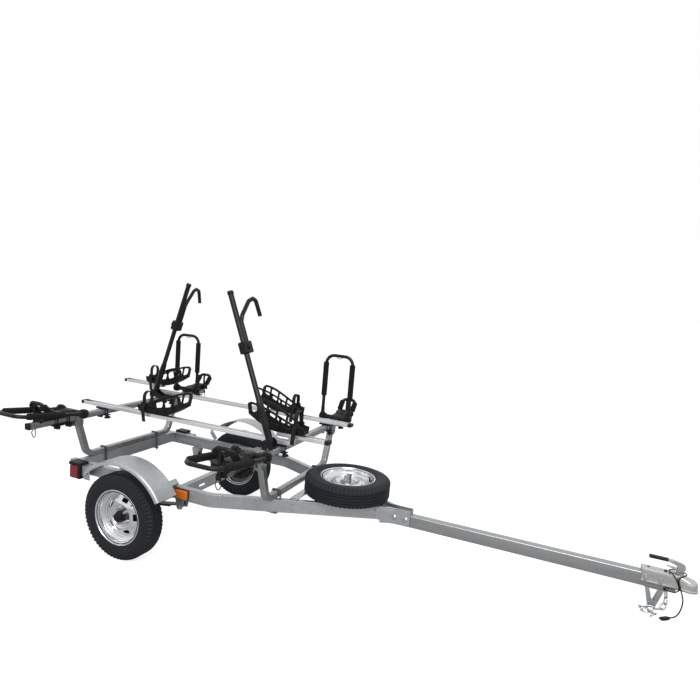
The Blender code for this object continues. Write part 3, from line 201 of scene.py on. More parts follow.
# %% Metal finishes
def galvanised(name, colour, roughness, metallic, spangled=0.45, stretch=(1, 1, 1)):
    made = Finish(name, colour, roughness, metallic, "galvanised_steel")
    spangle = made.crystals(170.0)
    cloud = made.noise(9.0, 4.0, stretch)
    dark = tuple(0.74 * part for part in colour)
    light = tuple(min(1.0, 1.22 * part) for part in colour)
    made.feed("Base Color", made.blend(spangle * spangled + cloud * (1 - spangled), dark, light))
    made.feed("Roughness", spangle * 0.10 + cloud * 0.14 + (roughness - 0.12))
    made.bump(made.noise(420.0), 0.12, 0.0004)
    return made


def plated(name, colour, roughness):
    made = Finish(name, colour, roughness, 0.92, "zinc_steel")
    cloud = made.noise(26.0, 3.0)
    made.feed("Roughness", cloud * 0.14 + (roughness - 0.07))
    made.feed("Base Color", made.blend(cloud, tuple(0.90 * part for part in colour), colour))
    made.bump(made.noise(700.0), 0.05, 0.0003)
    return made


GALVANISED = galvanised("galvanised_sheet", (0.43, 0.445, 0.46), 0.38, 0.75)
GALVANISED_TUBE = galvanised("galvanised_tube", (0.34, 0.35, 0.355), 0.30, 0.85, 0.20, (0.12, 3.0, 3.0))
DARK_STEEL = galvanised("dark_spring_steel", (0.10, 0.105, 0.11), 0.50, 0.60)
ZINC = plated("bright_zinc", (0.72, 0.73, 0.75), 0.20)
COUPLER_ZINC = plated("coupler_zinc", (0.54, 0.55, 0.53), 0.24)
# A dark copy of the bright zinc: painted shade for the rims' barrel and inboard faces.
PAINTED_SHADE_ZINC = plated("painted_shade_zinc", (0.10, 0.10, 0.105), 0.45)
BOLT_ZINC = plated("bolt_zinc", (0.50, 0.51, 0.53), 0.28)

# %% [markdown]
# ## Brushed aluminium
# The bike trays are extruded, so faint lines run along their length.  A noise stretched along x
# gives those lines without a texture image.

# %% Aluminium finish
ALUMINIUM = Finish("extruded_aluminium", (0.84, 0.85, 0.87), 0.30, 0.78, "aluminium")
lines = ALUMINIUM.noise(60.0, 3.0, (0.02, 9.0, 9.0))
ALUMINIUM.feed("Roughness", lines * 0.16 + 0.22)
ALUMINIUM.feed("Base Color", ALUMINIUM.blend(lines, (0.78, 0.79, 0.81), (0.90, 0.91, 0.93)))
ALUMINIUM.bump(lines, 0.10, 0.0003)

# %% [markdown]
# ## Black coats, plastics, foam and rubber
# All of these read as black in the photograph, and only their gloss tells them apart: powder coat
# has a fine orange peel, moulded plastic a soft grain, foam is matt and pitted, rubber is bluish.


# %% Black finishes
def black(name, slot, colour, roughness, grain, depth):
    made = Finish(name, colour, roughness, slot=slot, Specular_IOR_Level=0.22)
    patches = made.noise(14.0, 3.0)
    made.feed("Roughness", patches * 0.16 + (roughness - 0.08))
    made.feed("Base Color", made.blend(patches.power(2.0), colour, tuple(1.9 * part for part in colour)))
    made.bump(made.noise(grain), 0.35, depth)
    return made


POWDER_COAT = black("black_powder_coat", "black_coated_steel", (0.008, 0.008, 0.009), 0.30, 900.0, 0.00025)
PLASTIC = black("black_moulded_plastic", "black_plastic", (0.007, 0.007, 0.008), 0.46, 1500.0, 0.0003)
FOAM = black("black_foam", "black_plastic", (0.005, 0.005, 0.006), 0.82, 650.0, 0.0008)
TYRE_RUBBER = black("tyre_rubber", "tyre_rubber", (0.0105, 0.0115, 0.0155), 0.60, 260.0, 0.0006)
LEAD_JACKET = black("lead_jacket", "lead_rubber", (0.008, 0.008, 0.009), 0.42, 800.0, 0.0002)


# %% [markdown]
# ## Lenses
# The tail lights and markers are clear-coated plastic with a grid of tiny prisms moulded inside.
# Two crossed waves feed the bump, and the same waves darken the colour a little.


# %% Lens finish
def lens(name, bright, deep):
    made = Finish(name, bright, 0.22, slot=name, Coat_Weight=0.25, Coat_Roughness=0.05)
    across, upward = (made.node("ShaderNodeTexWave", {"bands_direction": way},
                                {"Vector": made.place(), "Scale": 55.0}) for way in "XZ")
    prisms = across * upward
    made.feed("Base Color", made.blend(prisms, deep, bright))
    made.bump(prisms, 0.4, 0.0012)
    return made


RED_LENS = lens("red_lens", (0.42, 0.010, 0.012), (0.13, 0.002, 0.003))
AMBER_LENS = lens("amber_lens", (0.86, 0.25, 0.010), (0.50, 0.09, 0.003))
print("finishes:", len(bpy.data.materials))

# %% [markdown]
# ## A workbench for shapes
# Most of the trailer is lofts: a section carried along a path.  One class collects closed forms
# in a single mesh, so a bolt, a tube and a plate can share one piece.  Its methods skin rings of
# points, which gives even quads and full control of the ends.


# %% Sections and paths
def circle(radius, steps):
    """Points round a circle, as a section or a hole."""
    return [(radius * math.cos(math.tau * step / steps), radius * math.sin(math.tau * step / steps))
            for step in range(steps)]


def soft_rectangle(half_x, half_y, corner, steps=3):
    """A rectangle with rounded corners, as a section."""
    points = []
    for quarter, (x, y) in enumerate(((1, 1), (-1, 1), (-1, -1), (1, -1))):
        for step in range(steps + 1):
            angle = math.pi / 2 * (quarter + step / steps)
            points.append((x * (half_x - corner) + corner * math.cos(angle),
                           y * (half_y - corner) + corner * math.sin(angle)))
    return points


def headings(path, around=False):
    """Each point of a path, with the direction of travel there."""
    path = [Vector(point) for point in path]
    for index, point in enumerate(path):
        before = path[index - 1] if index or around else point
        after = path[(index + 1) % len(path)] if index < len(path) - 1 or around else point
        yield point, (after - before).normalized()


def rounded(points, radius, steps):
    """Replace the inner corners of a path by arcs that meet the straights."""
    path = [Vector(points[0])]
    for before, corner, after in zip(points, points[1:], points[2:]):
        before, corner, after = Vector(before), Vector(corner), Vector(after)
        inward, outward = (before - corner).normalized(), (after - corner).normalized()
        half = inward.angle(outward) / 2
        reach = radius / math.tan(half)
        centre = corner + (inward + outward).normalized() * (radius / math.sin(half))
        first, last = corner + inward * reach - centre, corner + outward * reach - centre
        swing = first.rotation_difference(last)
        for step in range(steps + 1):
            path.append(centre + Quaternion().slerp(swing, step / steps) @ first)
    path.append(Vector(points[-1]))
    return path


def smooth_route(points, step):
    """Places at even steps along a smooth curve through the points."""
    ends = [2 * Vector(points[0]) - Vector(points[1]), *map(Vector, points),
            2 * Vector(points[-1]) - Vector(points[-2])]
    fine = []
    for a, b, c, d in zip(ends, ends[1:], ends[2:], ends[3:]):
        for part_way in range(24):
            t = part_way / 24
            fine.append(0.5 * (2 * b + (c - a) * t + (2 * a - 5 * b + 4 * c - d) * t * t
                               + (3 * b - a - 3 * c + d) * t ** 3))
    fine.append(ends[-2])
    route, travelled, target = [fine[0]], 0.0, step
    for here, there in zip(fine, fine[1:]):
        length = (there - here).length
        while travelled + length >= target:
            route.append(here.lerp(there, (target - travelled) / length))
            target += step
        travelled += length
    return route


def poly_curve(name, dimensions, loops, closed):
    """Curve data with one straight-sided line for each loop of points."""
    data = bpy.data.curves.new(name, "CURVE")
    data.dimensions = dimensions
    for loop in loops:
        line = data.splines.new("POLY")
        line.points.add(len(loop) - 1)
        for target, point in zip(line.points, loop):
            target.co = (*point, 1.0)
        line.use_cyclic_u = closed
        line.use_smooth = True
    return data


def evaluated_mesh(item):
    """An object's mesh after its modifiers."""
    bpy.context.view_layer.update()
    return bpy.data.meshes.new_from_object(item.evaluated_get(bpy.context.evaluated_depsgraph_get()))


# %% Lofts, tubes and plates
class Shape:
    """A mesh being made.  Every method adds one form and returns the shape."""

    def __init__(self):
        self.mesh = bmesh.new()

    def face(self, points):
        self.mesh.faces.new([self.mesh.verts.new(point) for point in points])
        return self

    def loft(self, rings, around=False, caps=True):
        loops = [[self.mesh.verts.new(point) for point in ring] for ring in rings]
        pairs = list(zip(loops, loops[1:]))
        if around:
            pairs.append((loops[-1], loops[0]))
        for low, high in pairs:
            for index, corner in enumerate(low):
                after = (index + 1) % len(low)
                self.mesh.faces.new((corner, low[after], high[after], high[index]))
        if caps and not around:
            self.mesh.faces.new(loops[0][::-1])
            self.mesh.faces.new(loops[-1])
        return self

    def stack(self, levels, corner, axis="Z", centre=(0.0, 0.0, 0.0), steps=3):
        """Soft rectangles along an axis; a level is a place on it and the rectangle's half sides."""
        spot = "XYZ".index(axis)
        return self.loft([[Vector(centre) + Vector((*point[:spot], at, *point[spot:]))
                           for point in soft_rectangle(half_first, half_second, corner, steps)]
                          for at, half_first, half_second in levels])

    def sweep(self, path, section):
        """Section x points to the right of travel, y is up."""
        rings = []
        for point, ahead in headings(path):
            right = ahead.cross(Vector((0, 0, 1))).normalized()
            over = right.cross(ahead)
            rings.append([point + right * x + over * y for x, y in section])
        return self.loft(rings)

    def tube(self, path, radius, sides=16, around=False):
        """A round bar along a path; the radius may be one number or one for each point."""
        radii = radius if isinstance(radius, (list, tuple)) else [radius] * len(path)
        rings, normal = [], None
        for (point, ahead), reach in zip(headings(path, around), radii):
            normal = ahead.orthogonal() if normal is None else normal
            normal = (normal - ahead * normal.dot(ahead)).normalized()
            side = ahead.cross(normal)
            rings.append([point + normal * x + side * y for x, y in circle(reach, sides)])
        return self.loft(rings, around)

    def rod(self, start, end, radius, end_radius=None, sides=24):
        return self.tube([start, end], [radius, radius if end_radius is None else end_radius], sides)

    def box(self, x0, x1, y0, y1, z0, z1):
        return self.loft([[(x0, y0, z), (x1, y0, z), (x1, y1, z), (x0, y1, z)] for z in (z0, z1)])

    def turned(self, profile, steps, place=Matrix(), reshape=None):
        """A closed section (radius, height) turned about Z; reshape may move each point."""
        rings = []
        for step, (along, across) in enumerate(circle(1.0, steps)):
            ring = []
            for index, (radius, height) in enumerate(profile):
                if reshape:
                    radius, height = reshape(step, index, radius, height)
                ring.append(place @ Vector((radius * along, radius * across, height)))
            rings.append(ring)
        return self.loft(rings, around=True)

    def plate(self, outline, thickness, holes=(), place=Matrix()):
        """A flat outline in XY with its holes, centred on Z = 0 before it is placed."""
        loops = [[(x, y, 0.0) for x, y in loop] for loop in (outline, *holes)]
        data = poly_curve("outline", "2D", loops, True)
        data.fill_mode = "BOTH"
        data.extrude = thickness / 2
        item = add_object("outline", data)
        flat = evaluated_mesh(item)
        bpy.data.objects.remove(item, do_unlink=True)
        return self.take(flat, place)

    def add(self, other, place=Matrix()):
        """A copy of another shape, placed."""
        data = bpy.data.meshes.new("copy")
        other.mesh.to_mesh(data)
        return self.take(data, place)

    def take(self, data, place):
        """The faces of a mesh, placed; the mesh itself is dropped."""
        data.transform(place)
        self.mesh.from_mesh(data)
        bpy.data.meshes.remove(data)
        return self

    def moved(self, place):
        bmesh.ops.transform(self.mesh, matrix=place, verts=self.mesh.verts)
        return self


FACING_Y = turn(90, "X")
FACING_X = turn(90, "Z") @ turn(90, "X")

# %% [markdown]
# ## From shape to piece
# A piece is a finished object: its mesh is welded and its faces turned outward, its edges get a
# small bevel so that they catch the light, it rides on the body it is given, and the CAD nodes it
# stands for are hidden.


# %% Finishing a piece
def piece(name, shape, finish, body="frame", stands_for=(), slot="", bevel=0.0008, angle=32.0, place=PARKED):
    bmesh.ops.remove_doubles(shape.mesh, verts=shape.mesh.verts, dist=2e-6)
    bmesh.ops.dissolve_degenerate(shape.mesh, edges=shape.mesh.edges, dist=1e-7)
    bmesh.ops.transform(shape.mesh, matrix=place, verts=shape.mesh.verts)
    bmesh.ops.recalc_face_normals(shape.mesh, faces=shape.mesh.faces)
    data = bpy.data.meshes.new(name)
    shape.mesh.to_mesh(data)
    shape.mesh.free()
    data.shade_smooth()
    data.set_sharp_from_angle(angle=math.radians(angle))
    data.materials.append(finish.material)
    item = add_object(name, data)
    if bevel:
        soften = item.modifiers.new("soft_edges", "BEVEL")
        soften.width = bevel
        soften.segments = 2
        soften.limit_method = "ANGLE"
        soften.angle_limit = math.radians(angle)
        soften.harden_normals = True
    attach(item, body)
    slot = slot or finish.slot
    if stands_for:
        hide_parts(*stands_for)
    return item


def both_sides(name, shape, finish, node="", **options):
    """The piece of the right side, and its mirror image on the left."""
    for word, side in (("_left", Shape().add(shape, MIRROR)), ("_right", shape)):
        piece(name + word, side, finish, stands_for=[node + word] if node else (), **options)


def hex_bolt(shape, point, direction, size=0.0065, height=0.005):
    """A washer and a hexagon head on a face."""
    point, direction = Vector(point), Vector(direction).normalized()
    shape.rod(point - direction * 0.001, point + direction * 0.0014, size * 1.3)
    shape.rod(point, point + direction * (height + 0.001), size, sides=6)
    return shape


# %% [markdown]
# ## The wiring lead
# A four-way lead leaves the tongue through a grommet, goes once round the latch post, hangs past
# the coupler and ends in a flat plug on the ground.  The photograph shows all of it, so the
# length is what is seen.  It is one curve, with the route of its CAD solid.

# %% Lead and plug
LEAD_RADIUS = 0.003
LEAD_ROUTE = [
    (0.050, -0.0288, 0.110), (0.052, -0.034, 0.110), (0.066, -0.039, 0.108), (0.090, -0.0405, 0.108),
    (0.108, -0.0405, 0.122), (0.103, -0.0405, 0.150), (0.091, -0.0400, 0.178), (0.077, -0.034, 0.1965),
    (0.069, -0.018, 0.1955), (0.070, 0.008, 0.1950), (0.085, 0.022, 0.1938), (0.112, 0.024, 0.1915),
    (0.137, 0.012, 0.1895), (0.141, -0.008, 0.1895), (0.130, -0.026, 0.1900), (0.110, -0.042, 0.1850),
    (0.104, -0.0495, 0.165), (0.110, -0.0510, 0.137), (0.119, -0.0530, 0.108), (0.123, -0.060, 0.078),
    (0.116, -0.071, 0.046), (0.103, -0.081, 0.020), (0.086, -0.0905, 0.0070), (0.0672, -0.1030, 0.0065)]
lead_path = smooth_route(LEAD_ROUTE, 0.005)[:-1] + [Vector(LEAD_ROUTE[-1])]
lead_data = poly_curve("wiring_lead_jacket", "3D", [lead_path], False)
lead_data.bevel_depth = LEAD_RADIUS
lead_data.bevel_resolution = 3
lead_data.use_fill_caps = True
lead_data.materials.append(LEAD_JACKET.material)
lead = add_object("wiring_lead_jacket", lead_data)

plug_end, plug_before = lead_path[-1], lead_path[-3]
plug_way = math.atan2(plug_end.y - plug_before.y, plug_end.x - plug_before.x)
PLUG_PLACE = Matrix.Translation(plug_end) @ shift(z=-0.0002) @ Matrix.Rotation(plug_way, 4, "Z")
PLUG_SECTIONS = [(0.0004, 0.0048), (0.006, 0.0060), (0.012, 0.0108), (0.040, 0.0112), (0.0495, 0.0108)]
PLUG_CORNER = 0.0025
plug = Shape().stack([(x, half, min(0.0053, half)) for x, half in PLUG_SECTIONS], PLUG_CORNER, "X")
for rib in range(4):
    at = 0.015 + 0.006 * rib
    plug.stack([(at, 0.0114, 0.0055), (at + 0.0028, 0.0114, 0.0055)], PLUG_CORNER, "X")
plug = piece("flat_plug_body", plug, LEAD_JACKET, stands_for=["flat_plug"], bevel=0.0004, place=PLUG_PLACE)
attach(lead, "frame")
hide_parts("wiring_lead")
print("lead length:", round(sum((b - a).length for a, b in zip(lead_path, lead_path[1:])), 4))

# %% [markdown]
# ## Tyres
# A 4.80-12 trailer tyre has a flat ribbed tread, square shoulders with cross cuts and a bulging
# side wall.  Turning a profile gives the ribs; moving the shoulder points in at every third step
# cuts the notches, which a bump map could not show in outline.

# %% Turn the tyres
WHEEL_Y = 0.623
SPARE_X, SPARE_Z = 1.159, 0.5146
TYRE_STEPS = 192
TREAD = [(0.0, 0.0), (0.0, 0.0075), (-0.005, 0.0085), (-0.005, 0.0105), (0.0, 0.0115), (0.0, 0.0235),
         (-0.005, 0.0245), (-0.005, 0.0265), (0.0, 0.0275), (0.0, 0.0385)]
SHOULDER = [(-0.0025, 0.0465), (-0.0095, 0.0528), (-0.0180, 0.0556)]
WALL = [(-0.0300, 0.0588), (-0.0440, 0.0600), (-0.0560, 0.0598), (-0.0575, 0.0590), (-0.0605, 0.0590),
        (-0.0620, 0.0596), (-0.0760, 0.0575), (-0.0860, 0.0545), (-0.0905, 0.0502)]
OUTER_HALF = [(TYRE_RADIUS + r, z) for r, z in TREAD + SHOULDER + WALL] + [(0.1528, 0.0502)]
TYRE_PROFILE = OUTER_HALF + [(r, -z) for r, z in OUTER_HALF[:0:-1]]
NOTCHED = range(len(TREAD), len(TREAD) + len(SHOULDER))


def notch(step, index, radius, height):
    """Cut the shoulder in at every third step, on both sides of the tyre."""
    near = index if index < len(OUTER_HALF) else 2 * len(OUTER_HALF) - 1 - index
    if step % 3 == 0 and near in NOTCHED:
        return radius - 0.0030, height * 0.91
    return radius, height


def wheel_place(side):
    """The wheel's own matrix: Z of the turned forms points outboard."""
    return shift(y=WHEEL_Y * side, z=TYRE_RADIUS) @ Matrix.Rotation(-PITCH, 4, "Y") @ turn(-90 * side, "X")


WHEELS = [("right", "wheel_right", wheel_place(-1), "tyre_right", "rim_right"),
          ("left", "wheel_left", wheel_place(1), "tyre_left", "rim_left"),
          ("spare", "frame", shift(SPARE_X, 0.0, SPARE_Z), "spare_tyre", "spare_rim")]
for word, body, place, tyre_node, _ in WHEELS:
    tyre = Shape().turned(TYRE_PROFILE, TYRE_STEPS, reshape=notch).moved(place)
    piece("tread_" + word, tyre, TYRE_RUBBER, body, [tyre_node], bevel=0, angle=26)

# %% [markdown]
# ## Rims
# The rims are pressed from sheet: a curled lip, a bead seat, a drop well and a disc whose five
# spokes are pushed outward between the slots.  The profile is turned, the disc waved five times
# round, and the slots are cut with a Boolean, because the cut edge must show the sheet.

# %% Turn and slot the rims
RIM_STEPS, SPOKES, SLOT_RADIUS = 120, 5, 0.100
OUTBOARD = [(0.1675, 0.0515), (0.1672, 0.0540), (0.1655, 0.0550), (0.1635, 0.0546), (0.1620, 0.0522),
            (0.1600, 0.0488), (0.1545, 0.0468), (0.1505, 0.0440), (0.1485, 0.0260), (0.1450, 0.0220),
            (0.1345, 0.0190), (0.1300, 0.0150), (0.1288, 0.0070)]
DISC_FRONT = [(0.1250, 0.0045), (0.1160, 0.0070), (0.1080, 0.0105), (0.0980, 0.0150), (0.0880, 0.0200),
              (0.0800, 0.0240), (0.0740, 0.0250), (0.0690, 0.0235), (0.0645, 0.0175), (0.0600, 0.0150),
              (0.0335, 0.0150)]
DISC_BACK = [(r, z - 0.003) for r, z in DISC_FRONT[::-1]]
INBOARD = [(0.1288, -0.0180), (0.1345, -0.0215), (0.1450, -0.0250), (0.1485, -0.0280), (0.1500, -0.0440),
           (0.1545, -0.0468), (0.1600, -0.0488), (0.1635, -0.0546), (0.1655, -0.0550), (0.1675, -0.0515)]
BARREL = [(0.1675, -0.0505), (0.1523, -0.0500), (0.1523, -0.0200), (0.1325, -0.0160), (0.1325, 0.0160),
          (0.1523, 0.0200), (0.1523, 0.0500), (0.1675, 0.0505)]
RIM_PROFILE = OUTBOARD + DISC_FRONT + DISC_BACK + INBOARD + BARREL


def pressed(step, index, radius, height):
    """Spokes stand out and the slots' surrounds dip, only on the disc."""
    depth = max(0.0, 1 - abs(radius - SLOT_RADIUS) / 0.022)
    on_disc = len(OUTBOARD) <= index < len(OUTBOARD) + 2 * len(DISC_FRONT)
    wave = math.cos(SPOKES * math.tau * step / RIM_STEPS)
    return radius, height - (0.0080 * depth * wave if on_disc else 0.0)


def slotted_rim():
    blank = Shape().turned(RIM_PROFILE, RIM_STEPS, reshape=pressed)
    bmesh.ops.remove_doubles(blank.mesh, verts=blank.mesh.verts, dist=2e-6)
    cutters = Shape()
    for number in range(SPOKES):
        slot = [(SLOT_RADIUS + x, y) for x, y in soft_rectangle(0.0115, 0.021, 0.006, 4)]
        cutters.plate(slot, 0.09, place=turn(360 / SPOKES * number, "Z"))
    items = []
    for shape in (blank, cutters):
        bmesh.ops.recalc_face_normals(shape.mesh, faces=shape.mesh.faces)
        data = bpy.data.meshes.new("rim_blank")
        shape.mesh.to_mesh(data)
        shape.mesh.free()
        items.append(add_object("rim_blank", data))
    cut = items[0].modifiers.new("slots", "BOOLEAN")
    cut.operation = "DIFFERENCE"
    cut.solver = "EXACT"
    cut.object = items[1]
    result = evaluated_mesh(items[0])
    for item in items:
        bpy.data.objects.remove(item, do_unlink=True)
    return result


def gets_painted_shade(spot, facing):
    """The barrel's inside and whatever faces inboard of the disc: the faces that get painted shade."""
    return facing.z < -0.2 and spot.xy.length < 0.15 or spot.z < -0.001 and spot.xy.length < 0.1487


rim_mesh = slotted_rim()
for word, body, place, _, rim_node in WHEELS:
    rim = Shape()
    rim.mesh.from_mesh(rim_mesh)
    rim.moved(place)
    made = piece("pressed_rim_" + word, rim, ZINC, body, [rim_node], bevel=0, angle=40)
    # The barrel's inside and the faces inboard of the disc take the dark zinc copy: painted shade.
    made.data.materials.append(PAINTED_SHADE_ZINC.material)
    upright_disc = place.to_3x3().inverted() @ PARKED.to_3x3().inverted()
    hub_centre = PARKED @ place @ Vector((0, 0, 0))
    for face in made.data.polygons:
        if gets_painted_shade(upright_disc @ (face.center - hub_centre), upright_disc @ face.normal):
            face.material_index = 1
print("rim faces:", len(rim_mesh.polygons))

# %% [markdown]
# ## Hubs
# Five tapered nuts on studs hold the disc, and a dark dust cap covers the bearing.  The valve
# stem stands in the drop well.


# %% Hubs, nuts and caps
def painted_shade_dish(place):
    """A dark dished sheet close behind the disc: painted shade, so that the slots look into shade."""
    profile = [(0.036, -0.0060), (0.070, -0.0060), (0.118, -0.0150), (0.118, -0.0170), (0.070, -0.0080),
               (0.036, -0.0080)]
    return Shape().turned(profile, 60).moved(place)


def hub_metal(place):
    made = Shape().turned([(0.0, 0.0117), (0.0625, 0.0117), (0.0625, 0.002), (0.030, 0.002), (0.026, -0.052),
                           (0.0, -0.052)], 48)
    made.turned([(0.0, 0.016), (0.0, 0.0300), (0.0262, 0.0300), (0.0290, 0.0270), (0.0320, 0.0117)], 48)
    for number in range(5):
        angle = math.tau * (number + 0.5) / 5
        x, y = 0.0475 * math.cos(angle), 0.0475 * math.sin(angle)
        made.rod((x, y, 0.0145), (x, y, 0.0200), 0.0105, 0.0088)
        made.rod((x, y, 0.0195), (x, y, 0.0310), 0.0088, sides=6)
        made.rod((x, y, 0.0300), (x, y, 0.0365), 0.0052)
    return made.moved(place)


for word, body, place, *_ in WHEELS[:2]:
    piece("lug_hub_" + word, hub_metal(place), BOLT_ZINC, body, ["hub_" + word], bevel=0.0006)
    cap = Shape().turned([(0.0, 0.0520), (0.0200, 0.0520), (0.0262, 0.0495), (0.0285, 0.0440),
                          (0.0300, 0.0300), (0.0345, 0.0285), (0.0345, 0.0165), (0.0, 0.0165)], 40)
    piece("dust_cap_" + word, cap.moved(place), PLASTIC, body)
for word, body, place, *_ in WHEELS:
    # A black dish behind every disc is painted shade that the slots look into.
    piece("painted_shade_sheet_" + word, painted_shade_dish(place), POWDER_COAT, body, slot="zinc_steel", bevel=0)
    valve = Shape().tube([(0.1415, 0.0, 0.0190), (0.1405, 0.0, 0.0320), (0.1385, 0.0, 0.0470)],
                         [0.0058, 0.0046, 0.0040], 14)
    piece("valve_" + word, valve.moved(place @ turn(38, "Z")), LEAD_JACKET, body, slot="tyre_rubber", bevel=0)

# %% [markdown]
# ## Side rails
# Each rail is a folded C channel, bent inward to the tongue, with spring hangers welded under it
# and a bracket for each end of the fender.  A section swept along the bent line gives the true
# channel with its open inside.

# %% Rails with brackets and hangers
RAIL_TOP, RAIL_BOTTOM, RAIL_Y, RAIL_NOSE_Y = 0.450, 0.374, 0.4775, 0.031
RAIL_BEND, RAIL_CLOSE, RAIL_REAR, RAIL_FRONT = 0.500, 1.470, -0.600, 1.573
FENDER_X, FENDER_RADIUS, FENDER_OUTER, FENDER_INNER = 0.030, 0.350, 0.715, 0.560
FENDER_FROM, FENDER_TO = 31.0, 138.0
FENDER_STAYS = (43.0, 131.0)
SPRING_Y, SPRING_HALF = 0.4375, 0.280
FLANGES_MEET, TONGUE_HALF = 1.1, 0.0255


def rail_path(inset=0.0, start=RAIL_REAR):
    """The right rail's outer face in plan."""
    slope = (RAIL_Y - RAIL_NOSE_Y) / (RAIL_CLOSE - RAIL_BEND)
    lean = math.hypot(1.0, slope)
    first = RAIL_BEND + inset * (lean - 1) / slope
    second = RAIL_CLOSE + inset * (lean - 1) / slope
    corners = [(start, -RAIL_Y - inset, 0.0), (first, -RAIL_Y - inset, 0.0),
               (second, -RAIL_NOSE_Y - inset, 0.0), (RAIL_FRONT, -RAIL_NOSE_Y - inset, 0.0)]
    if start > first:
        corners = [(start, -RAIL_Y - inset + slope * (start - first), 0.0)] + corners[2:]
    return rounded(corners, 0.12, 8)


def channel(height, width, wall, top):
    bottom = top - height
    return [(0, top), (0, bottom), (-width, bottom), (-width, bottom + wall),
            (-wall, bottom + wall), (-wall, top - wall), (-width, top - wall), (-width, top)]


def fender_stay(made, angle):
    """A bent strap from the rail's web out under the fender, with its two bolts."""
    radius = FENDER_RADIUS - 0.004
    face = RAIL_Y - 0.0005
    outline = [(face, radius - 0.085), (face + 0.004, radius - 0.085), (face + 0.004, radius - 0.024),
               (face + 0.02, radius - 0.004), (FENDER_OUTER - 0.04, radius - 0.004),
               (FENDER_OUTER - 0.04, radius), (face + 0.018, radius), (face, radius - 0.02)]
    at = shift(FENDER_X, 0.0, TYRE_RADIUS) @ turn(90 - angle, "Y")
    made.plate([(-y, z) for y, z in outline], 0.034, place=at @ FACING_X)
    for reach in (radius - 0.070, radius - 0.048):
        made.add(hex_bolt(Shape(), (0.0, -face - 0.004, reach), (0, -1, 0), 0.0055, 0.004), at)


def spring_hanger(made, x):
    """Two ears welded under the rail, with the pin that holds the spring's eye."""
    gap, pin_z, top = 0.024, 0.3150, RAIL_BOTTOM - 0.0003
    ear = [(x - 0.033, top - 0.001), (x - 0.018, top - 0.066), (x + 0.018, top - 0.066),
           (x + 0.033, top - 0.001)]
    made.box(x - 0.034, x + 0.034, -SPRING_Y - gap - 0.002, -SPRING_Y + gap + 0.002, top - 0.004, top)
    for side in (-1, 1):
        made.plate(ear, 0.004, place=shift(y=-SPRING_Y + side * (gap + 0.002)) @ FACING_Y)
        hex_bolt(made, (x, -SPRING_Y + side * (gap + 0.004), pin_z), (0, side, 0), 0.008, 0.006)
    made.rod((x, -SPRING_Y - gap, pin_z), (x, -SPRING_Y + gap, pin_z), 0.006)


def right_rail():
    """The channel, cut back beside the tongue, with its stays, hangers and bolts."""
    made = Shape().sweep(rail_path(), channel(0.076, 0.038, 0.003, RAIL_TOP))
    for corner in made.mesh.verts:
        if corner.co.x > FLANGES_MEET:
            corner.co.y = min(corner.co.y, -TONGUE_HALF - 0.0004)
    for angle in FENDER_STAYS:
        fender_stay(made, angle)
    for x in (SPRING_HALF, -SPRING_HALF):
        spring_hanger(made, x)
    for x in (0.372, 0.392, 0.412, -0.578, 0.150):
        for z in (0.432, 0.392):
            hex_bolt(made, (x, -RAIL_Y, z), (0, -1, 0), 0.0045, 0.003)
    slope = (RAIL_Y - RAIL_NOSE_Y) / (RAIL_CLOSE - RAIL_BEND)
    for x in (0.935, 1.372):
        for z in (0.432, 0.396):
            hex_bolt(made, (x, -RAIL_Y + slope * (x - RAIL_BEND), z), (-slope, -1, 0))
    return made


both_sides("channel_rail", right_rail(), GALVANISED, "side_rail", bevel=0.0012)

# %% [markdown]
# ## Crossmembers, tongue and splice plates
# Two more channels tie the rails together; the middle one has three long slots.  The rails' noses
# are clamped to a rectangular tube by bent plates and through bolts.

# %% Crossmembers
MIDDLE_X, REAR_BAR_X, FRONT_BAR_X = 0.283, -0.548, 0.822
for name, x, slots in (("rear", REAR_BAR_X, ()), ("middle", MIDDLE_X, (-0.28, 0.0, 0.28))):
    reach, middle = 0.4742, RAIL_TOP - 0.038
    member = Shape()
    holes = [[(-at + px, middle + pz) for px, pz in soft_rectangle(0.030, 0.009, 0.0085, 5)] for at in slots]
    face = [(-reach, 0.3775), (-reach, 0.4465), (reach, 0.4465), (reach, 0.3775)]
    member.plate(face, 0.003, holes, shift(x=x + 0.0190 - 0.0015) @ FACING_X)
    for low in (RAIL_BOTTOM, RAIL_TOP - 0.003):
        member.box(x - 0.019, x + 0.019, -0.4392, 0.4392, low, low + 0.003)
    for side in (-1, 1):
        for y, z in ((0.462, 0.430), (0.462, 0.395)):
            hex_bolt(member, (x + 0.019, side * y, z), (1, 0, 0), 0.0055, 0.004)
    piece(name + "_channel", member, GALVANISED, stands_for=[name + "_crossmember"], bevel=0.0007)

# %% Tongue and splice plates
TONGUE_TOP, TONGUE_BOTTOM = 0.4225, 0.3525
TONGUE_REAR, TONGUE_FRONT = 1.300, 2.905


def hollow_tube(shape, x0, x1, half_y, low, high, wall, corner):
    """A rectangular tube with rounded corners and open ends."""
    middle = (low + high) / 2
    outer = soft_rectangle(half_y, (high - low) / 2, corner, 4)
    inner = soft_rectangle(half_y - wall, (high - low) / 2 - wall, max(0.0005, corner - wall), 4)
    rings = [[(x, y, middle + z) for y, z in ring] for x, ring in
             ((x0, outer), (x1, outer), (x1, inner), (x0, inner))]
    return shape.loft(rings, around=True)


